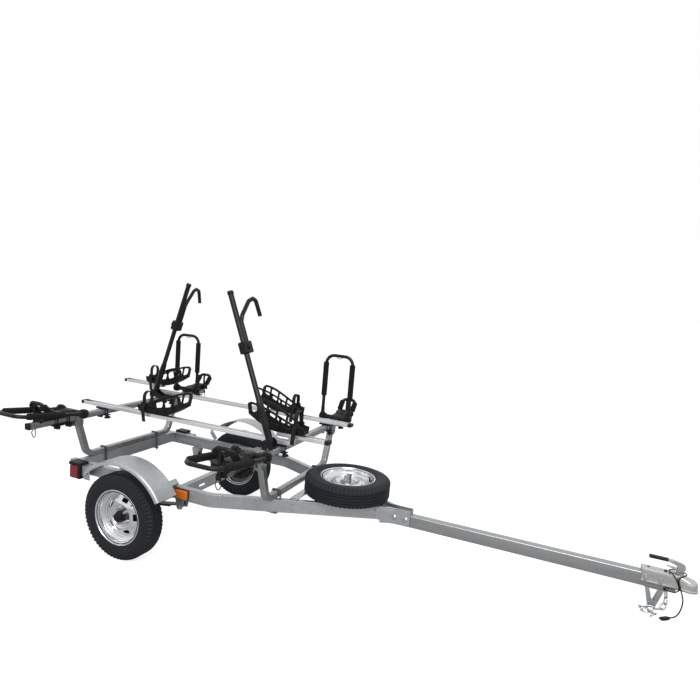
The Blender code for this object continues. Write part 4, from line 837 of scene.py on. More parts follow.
tongue = hollow_tube(Shape(), TONGUE_REAR, TONGUE_FRONT, TONGUE_HALF, TONGUE_BOTTOM, TONGUE_TOP, 0.003, 0.006)
piece("tongue_tube", tongue, GALVANISED_TUBE, stands_for=["tongue"], bevel=0.0005)
grommet = Shape().turned([(0.0, 0.0), (0.0065, 0.0), (0.0065, 0.0025), (0.0032, 0.0045), (0.0, 0.0045)], 24)
exit_level = PARKED.inverted() @ Vector(LEAD_ROUTE[0])
piece("lead_grommet", grommet.moved(shift(exit_level.x, -TONGUE_HALF, exit_level.z) @ turn(90, "X")),
      LEAD_JACKET, slot="black_plastic", bevel=0)
splice = Shape().sweep(rail_path(0.0003, 1.400), [(0.0, 0.437), (0.004, 0.437), (0.004, 0.357), (0.0, 0.357)])
for x in (1.480, 1.548):
    splice.rod((x, -0.0345, 0.3975), (x, -0.0372, 0.3975), 0.0185, 0.0170, 32)
    splice.rod((x, -0.0372, 0.3975), (x, -0.0430, 0.3975), 0.0145, 0.0070, 32)
both_sides("splice", splice, GALVANISED, "splice_plate")

# %% [markdown]
# ## Spare wheel carrier
# Two flat straps cross the rails and a third runs between them; a threaded post and a big washer
# hold the spare's disc down.

# %% Carrier
carrier = Shape()
STRAP_LOW, STRAP_HIGH = 0.4503, 0.4543
for x, reach in ((0.930, 0.268), (1.380, 0.061)):
    carrier.box(x - 0.025, x + 0.025, -reach, reach, STRAP_LOW, STRAP_HIGH)
    for side in (-1, 1):
        hex_bolt(carrier, (x, side * (reach - 0.018), STRAP_HIGH), (0, 0, 1), 0.0065, 0.005)
carrier.box(0.930, 1.380, -0.02, 0.02, STRAP_LOW - 0.004, STRAP_HIGH)
DISC_TOP = SPARE_Z + 0.0153
carrier.rod((SPARE_X, 0, STRAP_HIGH - 0.002), (SPARE_X, 0, DISC_TOP + 0.048), 0.006)
for thread in range(14):
    low = DISC_TOP + 0.018 + 0.002 * thread
    carrier.rod((SPARE_X, 0, low), (SPARE_X, 0, low + 0.001), 0.0064)
carrier.rod((SPARE_X, 0, DISC_TOP), (SPARE_X, 0, DISC_TOP + 0.005), 0.044, sides=40)
carrier.rod((SPARE_X, 0, DISC_TOP + 0.005), (SPARE_X, 0, DISC_TOP + 0.017), 0.012, sides=6)
for side in (-1, 1):
    inner, outer = sorted((side * 0.0200, side * 0.0235))
    for low, high in ((STRAP_HIGH, DISC_TOP - 0.004), (DISC_TOP + 0.005, DISC_TOP + 0.050)):
        carrier.box(SPARE_X - 0.016, SPARE_X + 0.016, inner, outer, low, high)
piece("spare_holder", carrier, BOLT_ZINC, stands_for=["spare_carrier"])

# %% [markdown]
# ## Coupler
# The coupler is one pressed shell: flat sided over the tongue, domed over the ball, with a lip
# turned out all round its open underside.  Lofting the same plan outline at rising heights, each a
# little smaller, gives the drawn radius; the latch post and its pointer stand on top.

# %% Coupler shell
BALL_X, COUPLER_REAR, COUPLER_TOP, COUPLER_LIP = 2.956, 2.752, 0.446, 0.384


def plan(half, nose, height):
    """The shell's outline at one height: straight sides and a half-round nose."""
    ring = [(COUPLER_REAR, half, height), (BALL_X - 0.060, half, height),
            (BALL_X - 0.028, half + 0.35 * (nose - half), height)]
    for step in range(13):
        angle = math.pi / 2 - math.pi * step / 12
        ring.append((BALL_X + nose * math.cos(angle), nose * math.sin(angle), height))
    return ring + [(x, -y, z) for x, y, z in ring[2::-1]]


shell = Shape()
levels = [(0.0352, 0.0452, COUPLER_LIP - 0.0058), (0.0352, 0.0452, COUPLER_LIP + 0.0020),
          (0.0312, 0.0415, COUPLER_LIP + 0.0050), (0.0300, 0.0405, COUPLER_LIP + 0.0120),
          (0.0298, 0.0400, COUPLER_TOP - 0.034), (0.0296, 0.0372, COUPLER_TOP - 0.018),
          (0.0290, 0.0320, COUPLER_TOP - 0.0085), (0.0275, 0.0270, COUPLER_TOP - 0.0030),
          (0.0245, 0.0215, COUPLER_TOP - 0.0003)]
shell.loft([plan(*level) for level in levels], caps=False).face(plan(*levels[-1]))
for corner in shell.mesh.verts:
    ahead = max(0.0, corner.co.x - (BALL_X - 0.040))
    corner.co.z -= min(1.0, ahead / 0.050) * 0.016 * max(0.0, (corner.co.z - 0.396) / 0.050)
skin = piece("coupler_shell", shell, COUPLER_ZINC, stands_for=["coupler"], bevel=0, angle=28)
sheet = skin.modifiers.new("sheet", "SOLIDIFY")
sheet.thickness = 0.0035
sheet.offset = -1.0

# %% Coupler bolts, latch post and holes
PIN_X, PIN_Z, LATCH_X, BOLT_Z = 2.920, 0.478, 2.912, 0.405
fittings = Shape()
for x in (COUPLER_REAR + 0.020, COUPLER_REAR + 0.085):
    for side in (-1, 1):
        hex_bolt(fittings, (x, side * 0.0298, BOLT_Z), (0, side, 0), 0.0095, 0.008)
        fittings.rod((x, side * 0.036, BOLT_Z), (x, side * 0.0460, BOLT_Z), 0.0050)
fittings.stack([(z, 0.0165 - lean, 0.010) for z, lean in
                ((COUPLER_TOP - 0.001, 0.0), (0.470, 0.001), (0.482, 0.003), (0.4875, 0.008))],
               0.004, centre=(LATCH_X + 0.0025, 0.0, 0.0))
pointer = [(LATCH_X - 0.013, 0.462), (LATCH_X - 0.013, 0.474), (LATCH_X - 0.060, 0.477)]
fittings.plate(pointer, 0.018, place=FACING_Y)
fittings.rod((PIN_X, -0.0165, PIN_Z), (PIN_X, 0.0165, PIN_Z), 0.004)
# Black discs on the shell's top stand for its two holes: painted shade for the holes' insides.
hole_painted_shade = Shape()
for x in (COUPLER_REAR + 0.030, COUPLER_REAR + 0.105):
    hole_painted_shade.turned([(0.0, 0.0), (0.0062, 0.0), (0.0068, 0.0005), (0.0075, 0.0003), (0.0075, -0.001),
                      (0.0, -0.001)], 24, shift(x, 0.006, COUPLER_TOP))
piece("coupler_top_holes", hole_painted_shade, PLASTIC, slot="zinc_steel", bevel=0)
piece("coupler_fittings", fittings, BOLT_ZINC, bevel=0.0006)

# %% Latch lever and grip
LATCH_PLACE = PARKED @ shift(PIN_X, 0.0, PIN_Z)
HANDLE_Z = 0.0265
cheek = [(0.010, -0.0115), (0.014, -0.002), (0.013, 0.012), (0.006, 0.019), (-0.010, 0.0238),
         (-0.036, 0.0290), (-0.062, 0.031), (-0.062, 0.022), (-0.034, 0.0135), (-0.018, 0.003),
         (-0.010, -0.0115)]
lever = Shape()
for side in (-1, 1):
    lever.plate(cheek, 0.003, [circle(0.0045, 16)], shift(y=side * 0.0120) @ FACING_Y)
roof = [(0.0125, 0.0125), (0.006, 0.0188), (-0.010, 0.0238), (-0.036, 0.0290), (-0.062, 0.0312)]
lever.plate(roof + [(x - 0.001, z - 0.0026) for x, z in roof[::-1]], 0.027, place=FACING_Y)
lever.stack([(-0.139, 0.008, 0.0030), (-0.100, 0.0088, 0.0030), (-0.061, 0.012, 0.0030)], 0.0015, "X",
            (0.0, 0.0, HANDLE_Z))
piece("lever_sheet", lever, BOLT_ZINC, "latch", ["latch_lever"], place=LATCH_PLACE, bevel=0.0006)
grip = Shape().stack([(-0.1440, 0.0095, 0.0055), (-0.1425, 0.0118, 0.0070), (-0.138, 0.0125, 0.0075),
                      (-0.069, 0.0120, 0.0073), (-0.0640, 0.0125, 0.0075), (-0.0630, 0.0118, 0.0070)],
                     0.0048, "X", (0.0, 0.0, HANDLE_Z), 5)
piece("lever_grip", grip, PLASTIC, "latch", ["latch_grip"], place=LATCH_PLACE, bevel=0)

# %% [markdown]
# ## Tongue stand
# A strap bent to a V carries the nose of the trailer.  Each leg is a thin flat, thicker only where
# the two meet at the foot.

# %% Stand
STAND_X, FOOT_Z, TOE = 2.818, 0.2507, 0.016
ground = TOE * math.tan(PITCH)
outline = [(-0.046, 0.3522), (-0.037, 0.3402), (-TOE, FOOT_Z + 0.005 - ground), (-TOE, FOOT_Z - ground),
           (TOE, FOOT_Z + ground), (TOE, FOOT_Z + 0.005 + ground), (0.040, 0.3402), (0.043, 0.3522)]
window = [(-0.022, 0.3472), (-0.001, FOOT_Z + 0.030), (0.004, FOOT_Z + 0.030), (0.024, 0.3472)]
stand = Shape().plate(outline, 0.038, [window], shift(STAND_X) @ FACING_Y)
piece("stand_strap", stand, GALVANISED, stands_for=["tongue_stand"], bevel=0.0015)

# %% [markdown]
# ## Safety chain
# A length of chain hangs from the tongue and lies heaped beside the stand.  Each link is a round
# bar bent to a long ring, turned a quarter against its neighbours.

# %% Chain
CHAIN_ROUTE = [
    (0.060, -0.002, 0.0916), (0.062, -0.010, 0.062), (0.057, -0.024, 0.032), (0.038, -0.044, 0.014),
    (0.002, -0.050, 0.012), (-0.036, -0.046, 0.012), (-0.060, -0.062, 0.012), (-0.040, -0.084, 0.012),
    (-0.010, -0.086, 0.012), (0.006, -0.102, 0.012), (-0.010, -0.126, 0.012), (-0.040, -0.122, 0.012)]
LINK_WIRE, LINK_LONG, LINK_WIDE = 0.0065, 0.044, 0.026
LINK_PITCH = LINK_LONG - 2 * LINK_WIRE + 0.0010
chain_stops = smooth_route(CHAIN_ROUTE, LINK_PITCH / 8)[::8]
chain = Shape()
for number, (here, there) in enumerate(zip(chain_stops, chain_stops[1:])):
    along = (there - here).normalized()
    level = along.cross(Vector((0, 0, 1)))
    level = level.normalized() if level.length > 0.2 else Vector((0, 1, 0))
    flat = Quaternion(along, math.radians(45 if number % 2 else -45)) @ level
    half_width, half_straight = (LINK_WIDE - LINK_WIRE) / 2, (LINK_LONG - LINK_WIDE) / 2
    ring = []
    for end in (1, -1):
        for step in range(9):
            angle = math.pi * step / 8
            reach = half_straight + half_width * math.sin(angle)
            ring.append((here + there) / 2 + along * end * reach + flat * end * math.cos(angle) * half_width)
    chain.tube(ring, LINK_WIRE / 2, 10, around=True)
piece("plated_chain", chain, BOLT_ZINC, stands_for=["safety_chain"], bevel=0, angle=80, place=Matrix())
print("chain links:", len(chain_stops) - 1)

# %% [markdown]
# ## Fenders
# Each fender is one rolled sheet with its outer edge turned down.  The arc is swept in steps of
# about two degrees, fine enough that the edge reads as a curve.


# %% Fenders
def fender():
    wide, sheet, steps = FENDER_OUTER - FENDER_INNER, 0.002, 48
    section = [(0.0, 0.0), (wide - 0.018, 0.0), (wide - 0.010, -0.0015), (wide - 0.0045, -0.0055),
               (wide - 0.0015, -0.0120), (wide, -0.022), (wide - sheet, -0.022), (wide - 0.0035, -0.0125),
               (wide - 0.0062, -0.0070), (wide - 0.0110, -0.0035), (wide - 0.018, -sheet), (0.0, -sheet)]
    path = []
    for step in range(steps + 1):
        angle = math.radians(FENDER_TO + (FENDER_FROM - FENDER_TO) * step / steps)
        path.append((FENDER_X + FENDER_RADIUS * math.cos(angle), -FENDER_INNER,
                     TYRE_RADIUS + FENDER_RADIUS * math.sin(angle)))
    made = Shape().sweep(path, section)
    for angle in FENDER_STAYS:
        normal = Vector((math.cos(math.radians(angle)), 0.0, math.sin(math.radians(angle))))
        for y in (FENDER_INNER + 0.030, FENDER_OUTER - 0.055):
            centre = Vector((FENDER_X, -y, TYRE_RADIUS)) + normal * (FENDER_RADIUS - 0.001)
            made.rod(centre, centre + normal * 0.0025, 0.0075, 0.0040)
    return made


both_sides("fender_sheet", fender(), GALVANISED, "fender", bevel=0)

# %% [markdown]
# ## Lights
# A tail light is a black box with a red lens wrapped round its rear and outer corner; the amber
# marker sits in a black bezel on the rail's web.


# %% Tail lights and markers
LAMP_BACK, MARKER_X, MARKER_Z = -0.4782, 0.3085, 0.414


def tail_housing():
    made = Shape().box(-0.518, -0.440, -0.5458, -0.4778, 0.360, 0.464)
    made.box(-0.5330, -0.4380, -0.5480, LAMP_BACK, 0.4440, 0.4645)
    return made.box(-0.456, -0.4400, -0.5470, LAMP_BACK, 0.3610, 0.4450)


def tail_lens():
    made = Shape().box(-0.522, -0.457, -0.5498, -0.483, 0.3635, 0.4425)
    return made.box(-0.5216, -0.457, -0.5490, -0.4835, 0.3980, 0.4015)


def marker_base():
    made = Shape().box(MARKER_X - 0.048, MARKER_X + 0.048, -0.4838, -0.4778, 0.385, 0.443)
    for x in (0.2650, 0.3520):
        made.rod((x, -0.4838, MARKER_Z), (x, -0.4855, MARKER_Z), 0.0035)
    return made


def marker_lens():
    made = Shape().stack([(-0.4830, 0.0445, 0.0255), (-0.4960, 0.0440, 0.0250), (-0.4992, 0.0415, 0.0225),
                          (-0.4998, 0.0390, 0.0200)], 0.006, "Y", (MARKER_X, 0.0, MARKER_Z))
    for rib in range(-2, 3):
        x = MARKER_X + 0.015 * rib
        made.box(x - 0.0016, x + 0.0016, -0.4999, -0.4940, 0.396, 0.432)
    return made


def lamp_bracket():
    """A galvanised plate with one hole, in front of the lamp."""
    plate = [(-0.372, 0.362), (-0.415, 0.362), (-0.438, 0.384), (-0.438, 0.446), (-0.372, 0.446)]
    hole = [(x - 0.392, z + 0.404) for x, z in circle(0.006, 16)]
    made = Shape().plate(plate, 0.003, [hole], shift(y=-0.5300) @ FACING_Y)
    return made.box(-0.4390, -0.3725, -0.5310, LAMP_BACK, 0.4425, 0.4455)


both_sides("lamp_bracket", lamp_bracket(), GALVANISED)
both_sides("tail_housing", tail_housing(), PLASTIC, "tail_light", bevel=0.0025)
both_sides("tail_lens", tail_lens(), RED_LENS, bevel=0.0022)
both_sides("marker_base", marker_base(), PLASTIC, "side_marker", bevel=0.0012)
both_sides("marker_lens", marker_lens(), AMBER_LENS)

# %% [markdown]
# ## Uprights and load bars
# Square tube is bent up at both ends of each upright and bolted between plates to a load bar.
# Square U-bolts hold the uprights to the rails.  The load bars' open ends are closed by ribbed
# black plugs.

# %% Uprights
TUBE, BAR_BOTTOM, BAR_TOP, BAR_Z = 0.038, 0.720, 0.758, 0.739
BEND_RADIUS, SPLAY = 0.070, 18.0


def upright(name, x, bolt_y, plate_out):
    z = RAIL_TOP + 0.0003 + TUBE / 2
    corner = 0.343 + BEND_RADIUS * math.tan(math.radians(90 - SPLAY) / 2)
    slope = math.tan(math.radians(SPLAY))
    top = BAR_BOTTOM - 0.0066
    lean = (top - z) * slope
    points = [(x, -corner - lean, top), (x, -corner, z), (x, corner, z), (x, corner + lean, top)]
    made = Shape().sweep(rounded(points, BEND_RADIUS, 12), soft_rectangle(TUBE / 2, TUBE / 2, 0.005, 4))
    clasps = Shape()
    for side in (-1, 1):
        y = side * (corner + (BAR_BOTTOM - z) * slope)
        bottom = BAR_BOTTOM - 0.045
        outline = [(y - 0.030, bottom + 0.014), (y - 0.016, bottom), (y + 0.016, bottom),
                   (y + 0.030, bottom + 0.014), (y + 0.030, BAR_TOP), (y - 0.030, BAR_TOP)]
        for face in (-1, 1):
            made.plate(outline, 0.004, place=shift(x=x + face * 0.0213) @ FACING_X)
            for height in (BAR_Z, BAR_BOTTOM - 0.022):
                hex_bolt(made, (x + face * 0.0233, y, height), (face, 0, 0), 0.0068, 0.004)
        half = TUBE / 2 + 0.0075
        at = side * bolt_y
        crown, low = RAIL_TOP + TUBE + 0.0033, RAIL_BOTTOM - 0.018
        bend = [(x - half, at, low), (x - half, at, crown), (x + half, at, crown), (x + half, at, low)]
        clasps.tube(rounded(bend, 0.007, 5), 0.0055, 14)
        ends = sorted((at - side * 0.014, at + side * plate_out))
        clasps.box(x - 0.036, x + 0.036, *ends, RAIL_BOTTOM - 0.0053, RAIL_BOTTOM - 0.0003)
        for leg in (x - half, x + half):
            clasps.rod((leg, at, RAIL_BOTTOM - 0.013), (leg, at, RAIL_BOTTOM - 0.0053), 0.0075, sides=6)
    piece(name + "_tube", made, GALVANISED_TUBE, stands_for=[name], bevel=0.0006)
    piece(name + "_u_bolts", clasps, DARK_STEEL, bevel=0.0006)


upright("front_upright", FRONT_BAR_X, 0.268, 0.060)
upright("rear_upright", REAR_BAR_X, 0.250, 0.014)

# %% Load bars and their plugs
BAR_REACH = 1.651 / 2
for name, x in (("front_load_bar", FRONT_BAR_X), ("rear_load_bar", REAR_BAR_X)):
    ring = soft_rectangle(TUBE / 2, TUBE / 2, 0.005, 4)
    bar = Shape().loft([[(x + px, y, BAR_Z + pz) for px, pz in ring] for y in (-BAR_REACH, BAR_REACH)])
    piece(name + "_tube", bar, GALVANISED_TUBE, stands_for=[name], bevel=0)
    caps = Shape()
    for side in (-1, 1):
        caps.loft([[(x + px * grow, side * (BAR_REACH + out), BAR_Z + pz * grow) for px, pz in ring]
                   for out, grow in ((-0.010, 1.0), (-0.010, 1.0), (0.003, 1.0), (0.0055, 0.93))])
    piece(name + "_plugs", caps, PLASTIC, bevel=0)

# %% [markdown]
# ## Bike trays
# The trays are shallow extruded channels with a rib along the floor and black end caps.  A short
# raised length at one end lifts the wheel holder beside the arm.


# %% Trays
TRAY_Z, TRAY_STEP, TRAY_HALF, TRAY_TALL = 0.7706, 0.045, 0.025, 0.022
TRAYS = {"right": (-0.255, 0.900, -0.720, 1.120), "left": (0.390, -0.700, 1.000, -0.965)}


def tray_length(shape, x0, x1, y, z):
    """An open channel with rolled lips and a T rib in its floor."""
    half, t, tall = TRAY_HALF, 0.002, TRAY_TALL
    section = [(-half, tall - 0.0015), (-half + 0.0015, tall), (-half + 0.005, tall),
               (-half + 0.005, tall - t), (-half + t, tall - t), (-half + t, t), (-0.008, t), (-0.008, 0.007),
               (-0.004, 0.007), (-0.004, 0.0035), (0.004, 0.0035), (0.004, 0.007), (0.008, 0.007), (0.008, t),
               (half - t, t), (half - t, tall - t), (half - 0.005, tall - t), (half - 0.005, tall),
               (half - 0.0015, tall), (half, tall - 0.0015), (half, 0.0125), (half - 0.0008, 0.0115),
               (half, 0.0105), (half, 0.0), (-half, 0.0), (-half, 0.0105), (-half + 0.0008, 0.0115),
               (-half, 0.0125)]
    x0, x1 = sorted((x0, x1))
    return shape.sweep([(x0, y, z), (x1, y, z)], section)


CAP_LEVELS = ((-0.014, 0.0258, 0.0118), (0.008, 0.0258, 0.0118), (0.0115, 0.0235, 0.0098))
for word, (y, base_end, far_end, stub_end) in TRAYS.items():
    out = 1 if stub_end > 0 else -1
    tray = tray_length(Shape(), base_end, far_end, y, TRAY_Z)
    tray_length(tray, base_end - out * 0.100, stub_end, y, TRAY_Z + TRAY_STEP)
    riser = base_end - out * 0.012
    tray.box(riser - 0.010, riser + 0.010, y - 0.022, y + 0.022, TRAY_Z + 0.0015, TRAY_Z + TRAY_STEP + 0.0005)
    piece("tray_channel_" + word, tray, ALUMINIUM, stands_for=["bike_tray_" + word], bevel=0)
    caps = Shape()
    for end, level in ((far_end, TRAY_Z), (stub_end, TRAY_Z + TRAY_STEP)):
        way = 1 if end > 0 else -1
        caps.stack([(end + way * x, half, tall) for x, half, tall in CAP_LEVELS], 0.004, "X",
                   (0.0, y, level + TRAY_TALL / 2))
    piece("tray_caps_" + word, caps, PLASTIC, bevel=0)

# %% [markdown]
# ## Clamps with lobed knobs
# Every tray is clamped to each load bar between a moulded block above and a bar below, pulled
# together by two studs with three-lobed knobs.


# %% Tray clamps
def lobed_knob():
    """A three-lobed hand knob whose top is at Z = 0, with its collar and stud."""
    made = Shape()
    rings = []
    for height, grow in ((-0.014, 0.90), (-0.0125, 1.0), (-0.002, 1.0), (0.0, 0.90)):
        ring = []
        for step in range(48):
            angle = math.tau * step / 48
            reach = (0.0165 + 0.0060 * math.cos(3 * angle)) * grow
            ring.append((reach * math.cos(angle), reach * math.sin(angle), height))
        rings.append(ring)
    made.loft(rings)
    made.rod((0, 0, 0), (0, 0, 0.007), 0.0095, 0.0075)
    made.rod((0, 0, 0.006), (0, 0, 0.013), 0.0042)
    made.rod((0, 0, -0.0165), (0, 0, -0.0135), 0.0070, 0.0085)
    return made


KNOB = lobed_knob()
CLAMP_LEVELS = ((0.0003, 0.045, 0.032), (0.009, 0.045, 0.032), (0.0122, 0.042, 0.029))
for word, (y, *_) in TRAYS.items():
    for end, x in (("rear", REAR_BAR_X), ("front", FRONT_BAR_X)):
        clamp = Shape().stack(CLAMP_LEVELS, 0.008, centre=(x, y, BAR_TOP))
        clamp.box(x - 0.042, x + 0.042, y - 0.020, y + 0.020, BAR_BOTTOM - 0.0063, BAR_BOTTOM - 0.0003)
        for side in (-1, 1):
            stud = x + side * 0.030
            clamp.rod((stud, y, BAR_BOTTOM - 0.014), (stud, y, BAR_TOP + 0.004), 0.004)
            clamp.add(KNOB, shift(stud, y, BAR_BOTTOM - 0.012) @ turn(25 * side, "Z"))
        name = end + "_" + word
        piece("clamp_" + name, clamp, PLASTIC, stands_for=["tray_clamp_" + name], bevel=0.0012)

# %% [markdown]
# ## Wheel holders
# Each holder is a moulded trough: two ladder-like walls that lean outward and rise to a rounded
# tip, with bars between large windows, over a floor that climbs under the tip.  A toothed strap
# arches over the tyre's place and through a buckle on each side, and its loose tail hangs down.

# %% Wheel holders
HOLDER_HALF, FLARE = 0.180, 0.28
HOLDERS = {"right_front": (0.800, -0.255, -1, TRAY_STEP), "right_rear": (-0.046, -0.255, 1, 0.0),
           "left_rear": (-0.566, 0.390, 1, TRAY_STEP), "left_front": (0.450, 0.390, -1, 0.0)}
FLOOR = TRAY_Z + TRAY_TALL + 0.0003
STRAP_AT, STRAP_CROWN = -HOLDER_HALF + 0.055, 0.140
BUCKLE_HEIGHT = 0.050


def holder_edge(x):
    """Height of a wall's upper edge above the floor: it rises to a rounded tip at +x."""
    share = (x + HOLDER_HALF) / (2 * HOLDER_HALF)
    tip = max(0.0, (share - 0.93) / 0.07)
    return 0.048 + 0.112 * math.sin(math.radians(90 * share)) ** 1.6 - 0.020 * tip ** 2


def holder_keel(x):
    """Height of a wall's lower edge: flat on the tray, then rising under the tip."""
    return 0.082 * max(0.0, (x - 0.010) / (HOLDER_HALF - 0.010)) ** 1.5


def wall_half(height):
    """Half the trough's width at a height above its floor."""
    return TRAY_HALF - 0.004 + FLARE * height

def ladder_wall(side):
    stations = [-HOLDER_HALF + 2 * HOLDER_HALF * step / 30 for step in range(31)]
    top = [(x, FLOOR + holder_edge(x)) for x in stations]
    low = [(x, FLOOR + holder_keel(x)) for x in stations[2:]]
    holes = []
    for x0, x1 in ((-0.094, -0.036), (-0.022, 0.036), (0.050, 0.104), (0.118, 0.156)):
        ring = []
        for x in (x0, x0 + 0.006, (x0 + x1) / 2, x1 - 0.006, x1):
            ends = 0.005 if x in (x0, x1) else 0.0
            keel, edge = holder_keel(x), holder_edge(x)
            ring.append((x, FLOOR + keel + 0.40 * (edge - keel) + ends, FLOOR + edge - 0.013 - ends))
        holes.append([(x, down) for x, down, _ in ring] + [(x, up) for x, _, up in ring[::-1]])
    made = Shape().plate([(-HOLDER_HALF, FLOOR + 0.014)] + low + top[::-1], 0.0055, holes, FACING_Y)
    made.tube([(x, 0.0, z - 0.002) for x, z in top], 0.0042, 10)
    made.tube([(x, 0.0, FLOOR + holder_keel(x) + 0.0035) for x in stations[2:]], 0.0035, 10)
    for x in (-0.029, 0.043, 0.111):
        made.box(x - 0.003, x + 0.003, -0.0045, 0.0045, FLOOR + holder_keel(x) + 0.006,
                 FLOOR + holder_edge(x) - 0.004)
    slope = Matrix.Identity(4)
    slope[1][2] = side * FLARE
    slope[1][3] = side * wall_half(-FLOOR)
    return made.moved(slope)


def trough_floor():
    """The strip that joins the walls' lower edges, and climbs with them."""
    rings = []
    for step in range(25):
        x = -HOLDER_HALF + 0.02 + (2 * HOLDER_HALF - 0.024) * step / 24
        half, low = wall_half(holder_keel(x)), FLOOR + holder_keel(x)
        rings.append([(x, -half, low), (x, half, low), (x, half + 0.001, low + 0.006),
                      (x, -half - 0.001, low + 0.006)])
    return Shape().loft(rings)


def toothed_band(points):
    """A flat strap along a route, thick and thin by turns."""
    rings = []
    for index, (point, ahead) in enumerate(headings(smooth_route(points, 0.0036))):
        outward = ahead.cross(Vector((1, 0, 0)))
        thick = 0.0034 if index % 2 else 0.0016
        rings.append([point + Vector((px, 0, 0)) + outward * py for px, py in
                      ((-0.0125, -0.0016), (0.0125, -0.0016), (0.0125, thick), (-0.0125, thick))])
    return Shape().loft(rings)


def ratchet_strap(x):
    """The strap from wall to wall, and the loose tail past the buckle."""
    half, base = wall_half(BUCKLE_HEIGHT), FLOOR + 0.024
    arch = [(x, -half * math.cos(math.pi * step / 12),
             FLOOR + STRAP_CROWN - half + half * math.sin(math.pi * step / 12)) for step in range(13)]
    tail = [(x, -half - 0.006, base + 0.036), (x + 0.002, -half - 0.013, base + 0.004),
            (x + 0.006, -half - 0.012, base - 0.040), (x + 0.010, -half - 0.010, base - 0.078)]
    return toothed_band([(x, -half, base), *arch, (x, half, base)]).add(toothed_band(tail))


def wheel_holder(x, y, high, lift):
    made = Shape().add(ladder_wall(-1)).add(ladder_wall(1)).add(trough_floor())
    made.add(ratchet_strap(STRAP_AT))
    made.stack([(0.002, 0.030, 0.010), (0.022, 0.030, 0.010)], 0.005, "X",
               (-HOLDER_HALF, 0.0, FLOOR + 0.020))
    for side in (-1, 1):
        made.stack([(side * (wall_half(BUCKLE_HEIGHT) + out), 0.018, 0.020) for out in (-0.004, 0.009)],
                   0.006, "Y", (STRAP_AT, 0.0, FLOOR + 0.052))
    return made.moved(shift(x, y, lift) @ Matrix.Diagonal((high, 1, 1, 1)))


for word, place in HOLDERS.items():
    piece("ladder_holder_" + word, wheel_holder(*place), PLASTIC,
          stands_for=["wheel_holder_" + word], bevel=0.0007)

# %% [markdown]
# ## Arms and hooks
# A mast stands in a forked foot beside its tray.  The hook that holds the bicycle's frame is a
# bent tube in a clamp that slides along the mast; a lever knob locks it.

# %% Arm bases, masts and hooks
ARM_Z, CHEEK, MAST_LENGTH, SHOE_LENGTH, HOOK_HEIGHT = 0.7966, 0.0265, 0.870, 0.230, 0.550
MAST_RADIUS, SHOE_RADIUS = 0.0160, 0.0208
ARMS = {"right": (0.800, -0.350, -21.4), "left": (-0.590, 0.295, 17.9)}
CHEEK_LINE = [(-0.035, -0.0005), (-0.033, 0.020), (-0.026, 0.036), (-0.012, 0.044), (0.004, 0.044),
              (0.018, 0.037), (0.040, 0.024), (0.064, 0.012), (0.075, -0.0005)]


def forked_foot(way):
    """Two cheeks on a sole; the mast turns between them."""
    made = Shape()
    outline = [(way * x, TRAY_Z + z) for x, z in CHEEK_LINE]
    for side in (-1, 1):
        made.plate(outline, 0.006, place=shift(y=side * CHEEK) @ FACING_Y)
        hex_bolt(made, (0, side * (CHEEK + 0.003), ARM_Z), (0, side, 0), 0.0085, 0.004)
    rear, front = sorted((-way * 0.035, way * 0.075))
    return made.box(rear, front, -CHEEK - 0.003, CHEEK + 0.003, BAR_TOP + 0.0003, TRAY_Z)


def arm_mast():
    """A tube in a thicker shoe, with a cap, rivets and a button."""
    heights = (-0.014, -0.010, 0.180, 0.212, 0.232, 0.236, MAST_LENGTH - 0.006)
    made = Shape().tube([(0, 0, z) for z in heights],
                        [0.0175, SHOE_RADIUS, SHOE_RADIUS, 0.0202, 0.0180, MAST_RADIUS, MAST_RADIUS], 36)
    made.tube([(0, 0, MAST_LENGTH + z) for z in (-0.008, -0.006, 0.010, 0.0138)],
              [0.0172, 0.0184, 0.0184, 0.0155], 36)
    for height in (0.060, 0.150, 0.330):
        reach = SHOE_RADIUS if height < SHOE_LENGTH else MAST_RADIUS
        made.rod((0, -reach - 0.0022, height), (0, -reach + 0.001, height), 0.0048, sides=16)
    button = MAST_LENGTH - 0.055
    return made.rod((0, -MAST_RADIUS, button), (0, -MAST_RADIUS - 0.0020, button), 0.0050, sides=20)


def frame_hook(way):
    """A bent tube with a thicker sleeve where the clamp holds it."""
    points = [(0.0, 0.0325, 0.010), (0.0, 0.0325, 0.150), (way * 0.006, 0.051, 0.190),
              (way * 0.030, 0.120, 0.268), (way * 0.040, 0.157, 0.282), (way * 0.036, 0.190, 0.268),
              (way * 0.020, 0.222, 0.180)]
    crook = rounded(points, 0.018, 8)
    made = Shape().tube(crook, [0.0136] * 2 + [0.0125] * (len(crook) - 2), 24)
    sleeve = [crook[0], crook[0] + Vector((0, 0, 0.125)), crook[0] + Vector((0, 0.003, 0.135))]
    return made.tube(sleeve, [0.0139, 0.0139, 0.0125], 24)


def hook_clamp(way):
    """The block that slides on the mast, with its lever knob and two screws."""
    made = Shape().stack([(-0.034, 0.0240, 0.0335), (-0.030, 0.027, 0.0365), (0.030, 0.027, 0.0365),
                          (0.034, 0.0240, 0.0335)], 0.008, centre=(0.0, 0.0095, 0.0))
    made.rod((way * 0.026, 0.0, 0.0), (way * 0.040, 0.0, 0.0), 0.015, 0.012)
    for corner_x in (-0.019, 0.019):
        made.rod((corner_x, -0.026, 0.016), (corner_x, -0.0285, 0.016), 0.0045, sides=6)
    return made


